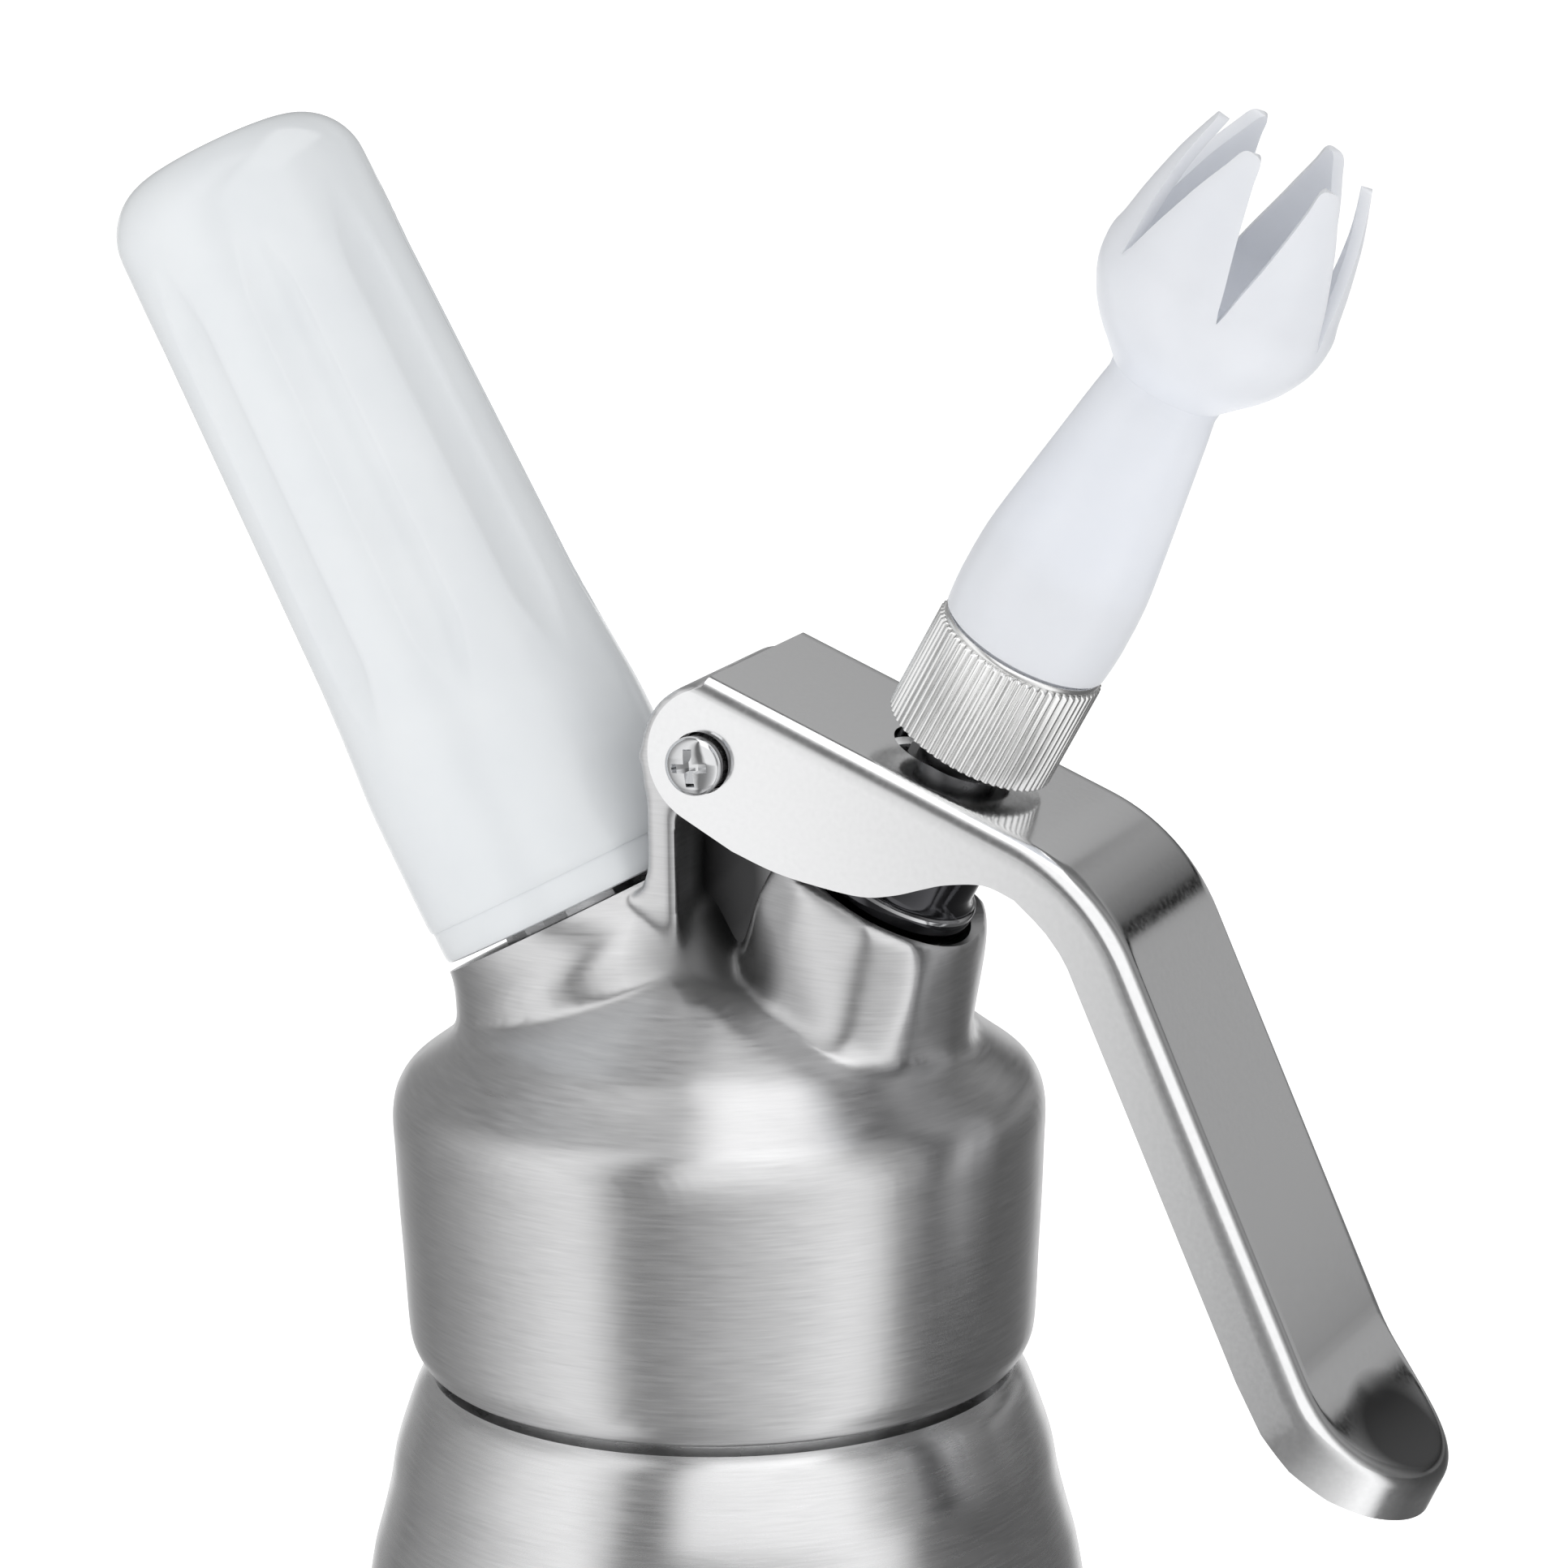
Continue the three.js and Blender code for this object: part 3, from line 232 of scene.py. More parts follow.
# %% [markdown]
# ## Finishing a piece
# A finished piece is shrunk to metres, shaded smooth with its real edges kept sharp, given its
# material and tied to the body that it moves with. It also hides the faceted piece that it stands
# for, and prints its count of faces, because a heavy piece is easier to mend early.


# %% Hand a piece over to the model
def finished(name, bm, body, node, material, sharp=32, bevel=0, foot=None):
    """A piece rides on its body. Given a foot, it is tied to no body and keeps its place in its mesh."""
    bmesh.ops.scale(bm, vec=(0.001, 0.001, 0.001), verts=bm.verts)
    bmesh.ops.recalc_face_normals(bm, faces=bm.faces)
    piece = object_from(bm, name)
    for polygon in piece.data.polygons:
        polygon.use_smooth = True
    piece.data.set_sharp_from_angle(angle=math.radians(sharp))
    if bevel:
        edge = piece.modifiers.new("edges", "BEVEL")
        edge.width, edge.segments, edge.limit_method = bevel * 0.001, 2, "ANGLE"
        edge.angle_limit, edge.harden_normals = math.radians(sharp), True
    piece.data.materials.append(material)
    if foot is None:
        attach(piece, body)
    else:
        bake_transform(piece)
    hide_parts(node)
    print(f"{name}: {len(piece.data.polygons)} faces")


# %% [markdown]
# ## Metals
# Bare metal is nearly all reflection, so its look comes from how its surface scatters light. The
# bottle and head are satin aluminium, finished on a lathe with a fine abrasive: the scratches run
# round the axis, so a noise pattern stretched level along every ring drives both the roughness
# and a faint bump. The anisotropic setting then smears highlights up and down across them.


# %% Shader helpers
def new_material(name):
    material = bpy.data.materials.new(name)
    material.use_nodes = True
    return material, *inside(material)


def inside(material):
    return material.node_tree, material.node_tree.nodes["Principled BSDF"]


def fill(tree, target, inputs):
    """Links each input whose value is another node's output, and sets the others."""
    for place, value in inputs.items():
        if isinstance(value, bpy.types.NodeSocket):
            tree.links.new(value, target.inputs[place])
        else:
            target.inputs[place].default_value = value


def node(tree, kind, inputs, **settings):
    made = tree.nodes.new("ShaderNode" + kind)
    for name, value in settings.items():
        setattr(made, name, value)
    fill(tree, made, inputs)
    return made


def placed(tree, scale=(1, 1, 1), turn=(0, 0, 0), shift=(0, 0, 0)):
    """The place on the object, scaled, turned and shifted."""
    place = node(tree, "TexCoord", {}).outputs["Object"]
    mapping = {"Vector": place, "Scale": scale, "Rotation": turn, "Location": shift}
    return node(tree, "Mapping", mapping).outputs["Vector"]


def stretched_noise(tree, stretch, detail, turn=(0, 0, 0)):
    grain = {"Vector": placed(tree, stretch, turn), "Scale": 1, "Detail": detail}
    return node(tree, "TexNoise", grain).outputs["Fac"]


def spread(tree, value, low, high, bottom=0.25, top=0.75):
    """Maps a value from bottom to top, which for noise lie round one half, to the range from low to high."""
    ends = {"Value": value, "From Min": bottom, "From Max": top, "To Min": low, "To Max": high}
    return node(tree, "MapRange", ends).outputs["Result"]


def worked_out(tree, how, *values):
    return node(tree, "Math", dict(enumerate(values)), operation=how).outputs["Value"]


def mixed(tree, share, first, second, kind="RGBA"):
    """Between two colours or two numbers. A Mix node has a set of sockets for each kind."""
    a, b, result = (6, 7, 2) if kind == "RGBA" else (2, 3, 0)
    return node(tree, "Mix", {0: share, a: first, b: second}, data_type=kind).outputs[result]


def raise_bump(tree, shader, value, strength, depth):
    bump = node(tree, "Bump", {"Height": value, "Strength": strength, "Distance": depth})
    fill(tree, shader, {"Normal": bump.outputs["Normal"]})


# %% Satin aluminium of the bottle and head
def along_scratches(tree):
    """The lathe's scratches run round the axis: the axis crossed with the place gives their direction."""
    across = node(tree, "VectorMath", {0: (0, 0, 1), 1: placed(tree)}, operation="CROSS_PRODUCT")
    outward = node(
        tree, "VectorTransform", {"Vector": across.outputs["Vector"]},
        vector_type="VECTOR", convert_from="OBJECT", convert_to="WORLD")
    return outward.outputs["Vector"]


def satin_aluminium(name, dark, light, gloss):
    material, tree, shader = new_material(name)
    level = spread(tree, stretched_noise(tree, (170, 170, 3600), 3), 0, 0.5)
    slanted = spread(tree, stretched_noise(tree, (240, 240, 3000), 3, (0, 0.16, 0)), 0, 0.5)
    strokes = worked_out(tree, "ADD", level, slanted)
    patches = spread(tree, stretched_noise(tree, (60, 60, 90), 5), -0.02, 0.05)
    shades = [(grey, grey, grey + 0.005, 1) for grey in (dark, light)]
    fill(tree, shader, {
        "Metallic": 1, "Anisotropic": 0.75, "Anisotropic Rotation": 0.25, "Tangent": along_scratches(tree),
        "Base Color": mixed(tree, strokes, *shades),
        "Roughness": worked_out(tree, "ADD", spread(tree, strokes, gloss, gloss + 0.06), patches)})
    raise_bump(tree, shader, strokes, 0.12, 0.00004)
    return material


def shade_painted_and_dulled(material, centre, radii, color, roughness):
    """Paints shade into the metal's colour and dulls it inside an egg-shaped region with the given centre and
    radii.
    """
    tree, shader = inside(material)
    egg = placed(tree, [1000 / r for r in radii], shift=[-c / r for c, r in zip(centre, radii)])
    reach = node(tree, "VectorMath", {0: egg}, operation="LENGTH").outputs["Value"]
    share = spread(tree, reach, 1, 0, 0.75, 1.2)
    for name, kind, shade_and_dull in (("Base Color", "RGBA", (*color, 1)), ("Roughness", "FLOAT", roughness)):
        plain = shader.inputs[name].links[0].from_socket
        fill(tree, shader, {name: mixed(tree, share, plain, shade_and_dull, kind)})


ALUMINIUM = satin_aluminium("satin_aluminium", 0.57, 0.73, 0.29)
# Painted shade: two eggs darken the head round the web and its pad under the lever, the inner one much
# darker.
shade_painted_and_dulled(ALUMINIUM, (2.5, 0, 195.6), (11.5, 14, 8), (0.27, 0.27, 0.272), 0.5)
shade_painted_and_dulled(ALUMINIUM, (3, 0, 204), (8, 6.5, 12), (0.1, 0.1, 0.102), 0.55)
BOTTLE_ALUMINIUM = satin_aluminium("fine_satin_aluminium", 0.64, 0.78, 0.22)
print("satin metals:", ALUMINIUM.name, BOTTLE_ALUMINIUM.name)


# %% Polished sheet, bright turned metal and plain steel
def bright_metal(name, color, roughness, grain, wobble):
    material, tree, shader = new_material(name)
    specks = stretched_noise(tree, grain, 4)
    darker = (*[channel * 0.94 for channel in color], 1)
    fill(tree, shader, {
        "Metallic": 1, "Base Color": mixed(tree, spread(tree, specks, 0, 1), darker, (*color, 1)),
        "Roughness": spread(tree, specks, roughness - wobble, roughness + wobble)})
    raise_bump(tree, shader, specks, 0.05, 0.00002)
    return material


def painted_highlight_band(material, turn, shift, height, half_width, color):
    """Paints a highlight into the metal's colour where the height along a tilted axis is within a narrow
    band.
    """
    tree, shader = inside(material)
    along = node(tree, "SeparateXYZ", {"Vector": placed(tree, turn=turn, shift=shift)}).outputs["Z"]
    within = worked_out(tree, "COMPARE", along, height, half_width)
    plain = shader.inputs["Base Color"].links[0].from_socket
    fill(tree, shader, {"Base Color": mixed(tree, within, plain, (*color, 1))})


SHEET = bright_metal("polished_sheet", (0.82, 0.822, 0.828), 0.14, (1500, 1500, 1500), 0.03)
# Painted shade: a small egg near the end of the arm is darker and a little duller.
shade_painted_and_dulled(SHEET, (77.5, 0, 151.5), (6.2, 8.6, 6.2), (0.15, 0.15, 0.152), 0.2)
# Painted shade and reflection: the chrome collar is coloured near-black for the shade under the lever and the
# dark underside it mirrors.
COLLAR_CHROME = bright_metal("chrome_painted_shade", (0.07, 0.07, 0.075), 0.1, (400, 400, 400), 0.02)
# A painted highlight: a thin bright band round the collar's rim.
painted_highlight_band(
    COLLAR_CHROME, (0, -NOZZLE_TILT, 0), (0.08234, 0, -0.14643), 0.04281, 0.00024, (0.6, 0.6, 0.61))
SCREW_STEEL = bright_metal("polished_steel", (0.68, 0.685, 0.695), 0.1, (500, 500, 500), 0.03)
BRIGHT = bright_metal("bright_turned", (0.93, 0.93, 0.925), 0.27, (900, 900, 900), 0.04)
STEEL = bright_metal("turned_steel", (0.6, 0.605, 0.615), 0.28, (300, 300, 2500), 0.06)
BRASS = bright_metal("turned_brass", (0.72, 0.53, 0.25), 0.28, (300, 300, 2500), 0.05)
DARK = bright_metal("dark_steel", (0.2, 0.2, 0.205), 0.3, (600, 600, 600), 0.06)
print("metals:", ", ".join(m.name for m in (SHEET, COLLAR_CHROME, SCREW_STEEL, BRIGHT, STEEL, BRASS, DARK)))

# %% [markdown]
# ## Plastics and rubber
# Moulded plastic is never quite even: it has a soft gloss, a slight mottle and a whiter skin. The
# holder is a cool glossy white, the tip a little more lilac and lets some light in. A hint of
# scattering under the surface keeps their shadows pale, as real white plastic does.


# %% Moulded plastic and rubber
def moulded(name, dark, light, roughness, scatter):
    material, tree, shader = new_material(name)
    mottle = stretched_noise(tree, (120, 120, 120), 3)
    fill(tree, shader, {
        "IOR": 1.49, "Subsurface Weight": scatter, "Subsurface Radius": (1, 1, 1), "Subsurface Scale": 0.004,
        "Base Color": mixed(tree, spread(tree, mottle, 0, 1), (*dark, 1), (*light, 1)),
        "Roughness": spread(tree, mottle, roughness - 0.03, roughness + 0.03)})
    raise_bump(tree, shader, mottle, 0.04, 0.00015)
    return material


HOLDER_WHITE = moulded("holder_white", (0.81, 0.838, 0.862), (0.842, 0.868, 0.888), 0.18, 0.15)
TIP_WHITE = moulded("tip_white", (0.785, 0.81, 0.865), (0.825, 0.848, 0.9), 0.3, 0.5)
RUBBER = moulded("black_rubber", (0.03, 0.031, 0.033), (0.05, 0.051, 0.053), 0.6, 0)
SILICONE = moulded("silicone", (0.42, 0.07, 0.045), (0.5, 0.09, 0.06), 0.45, 0)
print("plastics and rubber:", ", ".join(m.name for m in (HOLDER_WHITE, TIP_WHITE, RUBBER, SILICONE)))

# %% [markdown]
# ## The bottle
# A deep-drawn aluminium bottle: straight sides, a rounded foot, a shoulder that sweeps in to the
# neck, and a coarse thread that the head screws on to. The outline is a flowing line through the
# measured points, spun all the way round, with the inside wall drawn in the same pass.

# %% Turn the bottle
BOTTLE_RADIUS = 40
NECK_RADIUS = 28.9
RIM_HEIGHT = 162
shoulder = [
    (BOTTLE_RADIUS, 96), (BOTTLE_RADIUS, 104), (39.8, 113.9), (39.2, 122), (38.28, 128.1), (37.28, 131.9),
    (36.28, 136), (35.56, 140), (34.28, 144), (32.96, 147.4), (31.6, 149)]
foot = [
    (0, 0), (25, 0), *corner_arc((26, 0.2), 0.8, 180, 0, 8), (27.6, 0),
    *corner_arc((35.5, 4.5), 4.5, -90, 0, 8)]
outside = [*foot, *flowing(shoulder), (NECK_RADIUS, 149), (NECK_RADIUS, 161.4), (28.3, RIM_HEIGHT)]
inner_wall = [
    (27.1, RIM_HEIGHT), (26.5, 161.4), (26.5, 147), (32.4, 145.4), (36, 131.5), (38.3, 113), (38.4, 7),
    (34, 2.4), (0, 2.4)]
bottle = turned(outside + inner_wall, 160)


def screw_ridge(root, crest, pitch, turns, bottom, steps=64, place=UPRIGHT):
    """A trapezoid swept along a screw: the spin is given a rise as well as a turn."""
    sunk = root - math.copysign(0.4, crest - root)
    bm = bmesh.new()
    section = [(sunk, -0.23 * pitch), (crest, -0.1 * pitch), (crest, 0.1 * pitch), (sunk, 0.23 * pitch)]
    face = bm.faces.new([bm.verts.new((radius, 0, bottom + height)) for radius, height in section])
    count = round(steps * turns)
    bmesh.ops.spin(
        bm, geom=[face], cent=(0, 0, 0), axis=(0, 0, 1), dvec=(0, 0, pitch * turns / count),
        angle=2 * math.pi * turns, steps=count, use_duplicate=False)
    bmesh.ops.recalc_face_normals(bm, faces=bm.faces)
    bmesh.ops.rotate(bm, cent=(0, 0, 0), matrix=Matrix.Rotation(0.07, 3, "Z"), verts=bm.verts)
    bmesh.ops.transform(bm, matrix=place, verts=bm.verts)
    return bm


bottle = joined(bottle, screw_ridge(NECK_RADIUS, 30.2, 4, 2, 152))
finished("bottle_drawn", bottle, "bottle", "bottle", BOTTLE_ALUMINIUM)

# %% [markdown]
# ## The head casting
# The head is one casting: a skirt and cone, a boss for the charger, a tower for the valve, and a
# hinge post with a web. On the real one every inside corner is a soft fillet. Adding the rough
# shapes, turning them to a fine even mesh with the Remesh modifier and smoothing that mesh gives
# such fillets everywhere at once, where bevels would have to be placed one by one.

# %% The rough shapes of the head
HEAD_CONE_TOP = 202
skirt = [
    (0, 160), (30, 160), (30.4, 150), (31.6, 150), (32.5, 150.7), (33.2, 152), (33.75, 154), (34.2, 162),
    (34.58, 168.3), (34.82, 174), (34.98, 177), (34.85, 178.8), (34.48, 180.2), (33.5, 181.75), (31.6, 183.2),
    (29.55, 184.75), (27.7, 186.3), (26.5, 187.3), (24, 188.7)]
dome = [(14, HEAD_CONE_TOP - 7.76), (0, HEAD_CONE_TOP)]
BOSS_TOP = 33.8


def rough_head():
    body = turned([*skirt[:4], *flowing(skirt[4:], 4), *dome], 160)
    web = sawn([(-1, 177), (-1, 215), (9, 212), (13, 205), (17.2, 199.2), (17.2, 177)], 5.6)
    body = joined(body, web)
    for side in (-1, 1):
        pocket = sawn([(-0.3, 195.1), (27, 185.9), (27, 225), (-0.3, 225)], 35)
        bmesh.ops.translate(pocket, vec=(0, side * 20.5, 0), verts=pocket.verts)
        body = cut(body, pocket)
    return body


head = rough_head()
print("rough head:", len(head.faces), "faces")

# %% [markdown]
# The tower is a slanted block with soft facets, and its foot spreads out towards the shoulder.
# Bmesh can wrap a skin round a handful of corner points with its convex hull operator, which is
# quicker than drawing the facets.


# %% The tower, boss and post
MOUTH = [(-0.95, 0.75), (-0.55, 1), (0.27, 1.075), (0.7, 0.93), (0.93, 0.5), (1, 0)]
SHOULDER = [(0.94, 0.92), (1.03, 0)]
BELT = [(-0.95, 0.75), (-0.4, 1.02)]
FOOT = [(-0.88, 0.36), (-0.1, 0.97), (0.85, 1.3), (1.28, 0.92), (1.7, 0)]
WALL_RADIUS = 10.7


def wrapped(points):
    """A skin round the given points and their mirror images on the far side."""
    bm = bmesh.new()
    for point in points:
        for side in (-1, 1):
            bm.verts.new((point[0], side * point[1], point[2]))
    bmesh.ops.remove_doubles(bm, verts=bm.verts, dist=0.01)
    hull = bmesh.ops.convex_hull(bm, input=bm.verts)
    bmesh.ops.delete(bm, geom=hull["geom_interior"], context="VERTS")
    bmesh.ops.recalc_face_normals(bm, faces=bm.faces)
    return bm


def tower_points():
    rings = [(MOUTH, 41.1, 0.08), (SHOULDER, 37.5, 0), (BELT, 34.7, 0), (FOOT, 24, 0)]
    return [
        NOZZLE @ Vector((a * WALL_RADIUS, b * WALL_RADIUS, height + a * WALL_RADIUS * slope))
        for ring, height, slope in rings for a, b in ring]


def charger_boss():
    section = [(0, 5), (17.6, 5), (17.6, 28.2), (17.2, 29.6), (16.5, 31.2), (15.95, 33), (15.85, 36), (0, 36)]
    return turned(section, 128, place=CHARGER)


def hinge_post():
    post = sawn([
        (-5, 180), (0.6, 180), (0.6, 216), (1.5, 222), (-1, 222.5), (-2.8, 220.5), (-3.7, 218.4), (-2.8, 213),
        (-2.8, 206), (-3.5, 203.6), (-5, 202.4)], 22.5)
    knuckle = rod(6.4, -11.25, 11.25, place=PIVOT_AXIS)
    back = sawn([*corner_arc((0, 0), 7.9, 113.5, 215, 16), (-3.15, -4)], 22.5, place=LEVER)
    return joined(post, knuckle, back)


head = joined(head, wrapped(tower_points()), charger_boss(), hinge_post())

# %% [markdown]
# Remesh lays an even skin over the lot and melts the joins. Smoothing then moves each point
# towards its neighbours. It is repeated more often near the inside corners of the upper part
# than on the skirt, which has to keep its turned outline.

# %% Even mesh and soft fillets
def smoothed(bm, chosen, passes):
    for _ in range(passes):
        bmesh.ops.smooth_vert(bm, verts=chosen, factor=0.5, use_axis_x=True, use_axis_y=True, use_axis_z=True)


head = with_modifier(head, "REMESH", {"mode": "VOXEL", "voxel_size": 0.5})
inner_corners = [v for v in head.verts if 184.5 < v.co.z < 200 and v.co.xy.length < 31.5 and v.co.x > 9]
upper = [v for v in head.verts if v.co.z > 183.5 and v.co.xy.length < 32 and (v.co.z < 200 or v.co.x > 2)]
smoothed(head, inner_corners, 30)
smoothed(head, upper, 12)
smoothed(head, head.verts, 4)


def web_pad():
    outline = flowing([
        (0.25, 210), (0.25, 203.1), (0.87, 200.5), (2.07, 198), (3.2, 196.7), (4.5, 196), (5.85, 196.2),
        (6.6, 197.4), (7.2, 199), (8.4, 201), (9.9, 202.7), (10.1, 210)], 3)
    pad = sawn(outline, 8)
    rims = [e for e in pad.edges if abs(e.verts[0].co.y - e.verts[1].co.y) < 0.01]
    bmesh.ops.bevel(
        pad, geom=rims, offset=0.5, offset_type="OFFSET", segments=3, profile=0.5, affect="EDGES",
        material=-1)
    return pad


head = joined(head, web_pad())
print("even head:", len(head.faces), "faces")

# %% [markdown]
# The machined places come last, so that their edges stay crisp: the seat of the holder with its
# clearance up the back of the post, the bore of the valve, the hole for the pivot, and the hollow
# with its thread under the head.


# %% Machined bores of the head
def head_bores():
    seat = turned([(0, BOSS_TOP), (16.9, BOSS_TOP), (16.9, 55), (0, 55)], 128, place=CHARGER)
    valve = turned(
        [(0, 27), (8.7, 27), (8.7, 35), (9.8, 35), (9.8, 40.6), (12, 41.9), (12, 56), (0, 56)], 96,
        place=NOZZLE)
    guide = rod(6.7, 3.3, 28, 64, NOZZLE)
    port = rod(6.9, 25.5, 35, 64, CHARGER)
    pocket = rod(3.5, 22.5, 26, 48, CHARGER)
    gas = rod(1.4, 3.3, 26, 32, CHARGER)
    pivot = rod(3.2, -20, 20, 64, PIVOT_AXIS)
    hollow = turned([(0, 149), (30.7, 149), (30.7, 164.6), (23, 164.6), (12, 178), (0, 178)], 128)
    return seat, valve, guide, port, pocket, gas, pivot, hollow


head = cut(head, *head_bores())
head = joined(head, screw_ridge(30.7, 29.4, 4, 1.5, 154))
finished("head_cast", head, "head", "head", ALUMINIUM, sharp=38)

# %% [markdown]
# ## The charger holder
# A glossy moulded sleeve with a rounded top and eight shallow finger flutes that fade out above a
# plain grip band. The sleeve is spun first. Each point in the fluted length is then pulled
# towards the axis by a smooth dip that depends on its angle, which gives a soft moulded hollow.

# %% Turn the holder and press in its flutes
HOLDER_BASE = 34.6
HOLDER_TOP = 124.2
FLUTE_COUNT = 8
FLUTE_TURN = math.radians(26)
FLUTE_DEPTH = 0.8
FLUTE_HALF_WIDTH = 2.8
grip = [(15.75, 38.2), (16.05, 39.2), (16.05, 47), (16, 53), (15.7, 57.5), (15.4, 62), (15.25, 66)]
barrel = [(15.25 - 0.95 * share, 66 + 51.2 * share) for share in [n / 40 for n in range(1, 41)]]
holder_section = [
    (12.3, HOLDER_BASE), (15.2, HOLDER_BASE), (15.55, 34.75), (15.7, 35.1), (15.75, 35.8),
    *flowing(grip, 4), *barrel, *corner_arc((7.3, 117.2), 7, 8, 90, 14), (3, HOLDER_TOP), (0, HOLDER_TOP)]
holder_inside = [(0, 105), (9.4, 105), (9.4, 82.1), (12.3, 82.1)]
holder = turned(holder_section + holder_inside, 240, closed=True)


def eased(value):
    value = max(0.0, min(1.0, value))
    return value * value * (3 - 2 * value)


def flute_depth(angle, height):
    """How far a point is pressed in: deepest along each flute's middle, fading at its ends."""
    step = 2 * math.pi / FLUTE_COUNT
    off = abs((angle - FLUTE_TURN + step / 2) % step - step / 2) * 15
    ends = eased((height - 59) / 9) * eased((115.5 - height) / 10)
    across = max(0.0, 1 - (off / (FLUTE_HALF_WIDTH * (0.35 + 0.65 * ends))) ** 2)
    return FLUTE_DEPTH * ends * across


for point in holder.verts:
    reach = point.co.xy.length
    if reach > 13 and 58 < point.co.z < 117:
        depth = flute_depth(math.atan2(point.co.y, point.co.x), point.co.z)
        point.co.xy *= (reach - depth) / reach
bmesh.ops.transform(holder, matrix=CHARGER, verts=holder.verts)
finished("holder_moulded", holder, "holder", "charger_holder", HOLDER_WHITE, sharp=40)

# %% [markdown]
# ## The decorator tip
# The tulip tip is a turned barrel that opens into a cup with six petals. The cup is spun as a
# thin wall, and six wedges cut the gaps: narrow at the bottom and wide at the top, so that each
# petal ends in a blunt point. A small bevel rounds the cut edges as a mould would.

# %% Turn the tip and cut its petals
RING_TOP = 72.5
TIP_TOP = 131.9
PETAL_TURN = math.radians(20)
tip_foot = [(8.3, 71.9), (8.3, 72.8), (9.1, 73.0)]
tip_barrel = [(9.25, 74.5), (9.35, 77), (9.2, 82), (8.4, 88), (7.5, 94), (6.6, 100), (6.05, 103.2)]
tip_cup = [
    (6.2, 104.5), (7.6, 106), (9.5, 108), (11, 110.1), (12.3, 113), (12.6, 116), (12.16, 118.1),
    (11.62, 121.2), (10.94, 124.3), (10.16, 127.3), (8.57, TIP_TOP)]
cup_inside = [
    (7.3, TIP_TOP), (8.9, 127.2), (9.7, 124.2), (10.4, 121.1), (10.95, 118.2), (11.3, 116), (10.9, 113.3),
    (9.6, 110.8)]
tip_bore = [(6, 109.2), (3.4, 108.6), (3.4, 83.4), (2.6, 82.1), (7.4, 82.1), (7.4, 71.9)]
tip_section = [*tip_foot, *flowing(tip_barrel, 4), *flowing(tip_cup, 4), *flowing(cup_inside, 4), *tip_bore]
tip = turned(tip_section, 144, closed=True)


GAP_EDGE = [
    (0, -15.6), (0.4, -14.4), (0.85, -12.3), (1.75, -8.6), (2.5, -5), (3, -2.4), (3.15, -1.1), (3.25, -0.55),
    (3.5, -0.15), (3.95, 0.02), (4.05, 1)]


def petal_gap(index):
    """A wedge in the plane across the wall, pushed out past it."""
    edge = flowing(GAP_EDGE[1:-1], 3)
    corners = [GAP_EDGE[0], *edge, GAP_EDGE[-1], *[(-x, z) for x, z in [GAP_EDGE[-1], *reversed(edge)]]]
    bm = drawn_out([(2, x, TIP_TOP + z) for x, z in corners], (13, 0, 0))
    turn = PETAL_TURN + (index + 0.5) * math.pi / 3
    bmesh.ops.rotate(bm, cent=(0, 0, 0), matrix=Matrix.Rotation(turn, 3, "Z"), verts=bm.verts)
    return bm


tip = cut(tip, *[petal_gap(index) for index in range(6)])
tip = joined(tip, screw_ridge(7.4, 6.7, 2, 1.5, RING_TOP + 3))
bmesh.ops.transform(tip, matrix=NOZZLE, verts=tip.verts)
finished("tip_moulded", tip, "tip", "decorator_tip", TIP_WHITE, sharp=35, bevel=0.22)

# %% [markdown]
# ## The knurled adapter
# The ring that holds the tip is straight knurled: sixty fine ridges between two smooth lips. The
# ridges are one star-shaped circle, drawn up and pinched at both ends, on a turned core that
# carries the spigot and its thread.

# %% Make the knurl and its core
KNURLS = 60
RIDGE_SHAPE = (1, 0.95, 0.6, 0, 0.6, 0.95)


def knurled_band(low, high, root, crest):
    bm = bmesh.new()
    count = KNURLS * len(RIDGE_SHAPE)
    ring = bmesh.ops.create_circle(bm, cap_ends=False, radius=crest, segments=count)["verts"]
    for number, point in enumerate(ring):
        lift = RIDGE_SHAPE[number % len(RIDGE_SHAPE)]
        point.co *= (root + (crest - root) * lift) / crest
        point.co.z = low
    edges = bm.edges[:]
    for height in (low + 0.12, high - 0.3, high):
        grown = bmesh.ops.extrude_edge_only(bm, edges=edges)["geom"]
        edges = of_kind(grown, bmesh.types.BMEdge)
        for point in of_kind(grown, bmesh.types.BMVert):
            point.co.z = height
    for point in bm.verts:
        if not low + 0.1 < point.co.z < high - 0.1:
            point.co.xy *= (root - 0.05) / point.co.xy.length
    bmesh.ops.holes_fill(bm, edges=[e for e in bm.edges if e.is_boundary], sides=0)
    bmesh.ops.recalc_face_normals(bm, faces=bm.faces)
    return bm


adapter_section = [
    (0, 59.8), (8.7, 59.8), (8.85, 59.95), (8.85, 71.9), (8.95, 72), (8.95, 72.3), (8.8, 72.5), (8.6, 72.5),
    (8.6, 71.6), (6.2, 71.6), (6.2, 80.2), (5.9, 80.5), (0, 80.5)]
adapter = joined(
    turned(adapter_section, 120), knurled_band(59.95, 71.9, 8.9, 9.3), screw_ridge(6.2, 6.9, 2, 2, 74.5))
adapter = cut(adapter, rod(4.5, 58, 82), rod(5.9, 58, 61.8))
bmesh.ops.transform(adapter, matrix=NOZZLE, verts=adapter.verts)
finished("adapter_knurled", adapter, "valve", "tip_adapter", BRIGHT, sharp=50)

# %% [markdown]
# ## Collar and stem
# Under the lever sits a chromed dish with a thin turned-up rim, and a hub that the lever presses.
# It sits on the hollow stem, which reaches up into the adapter. Both are turned.

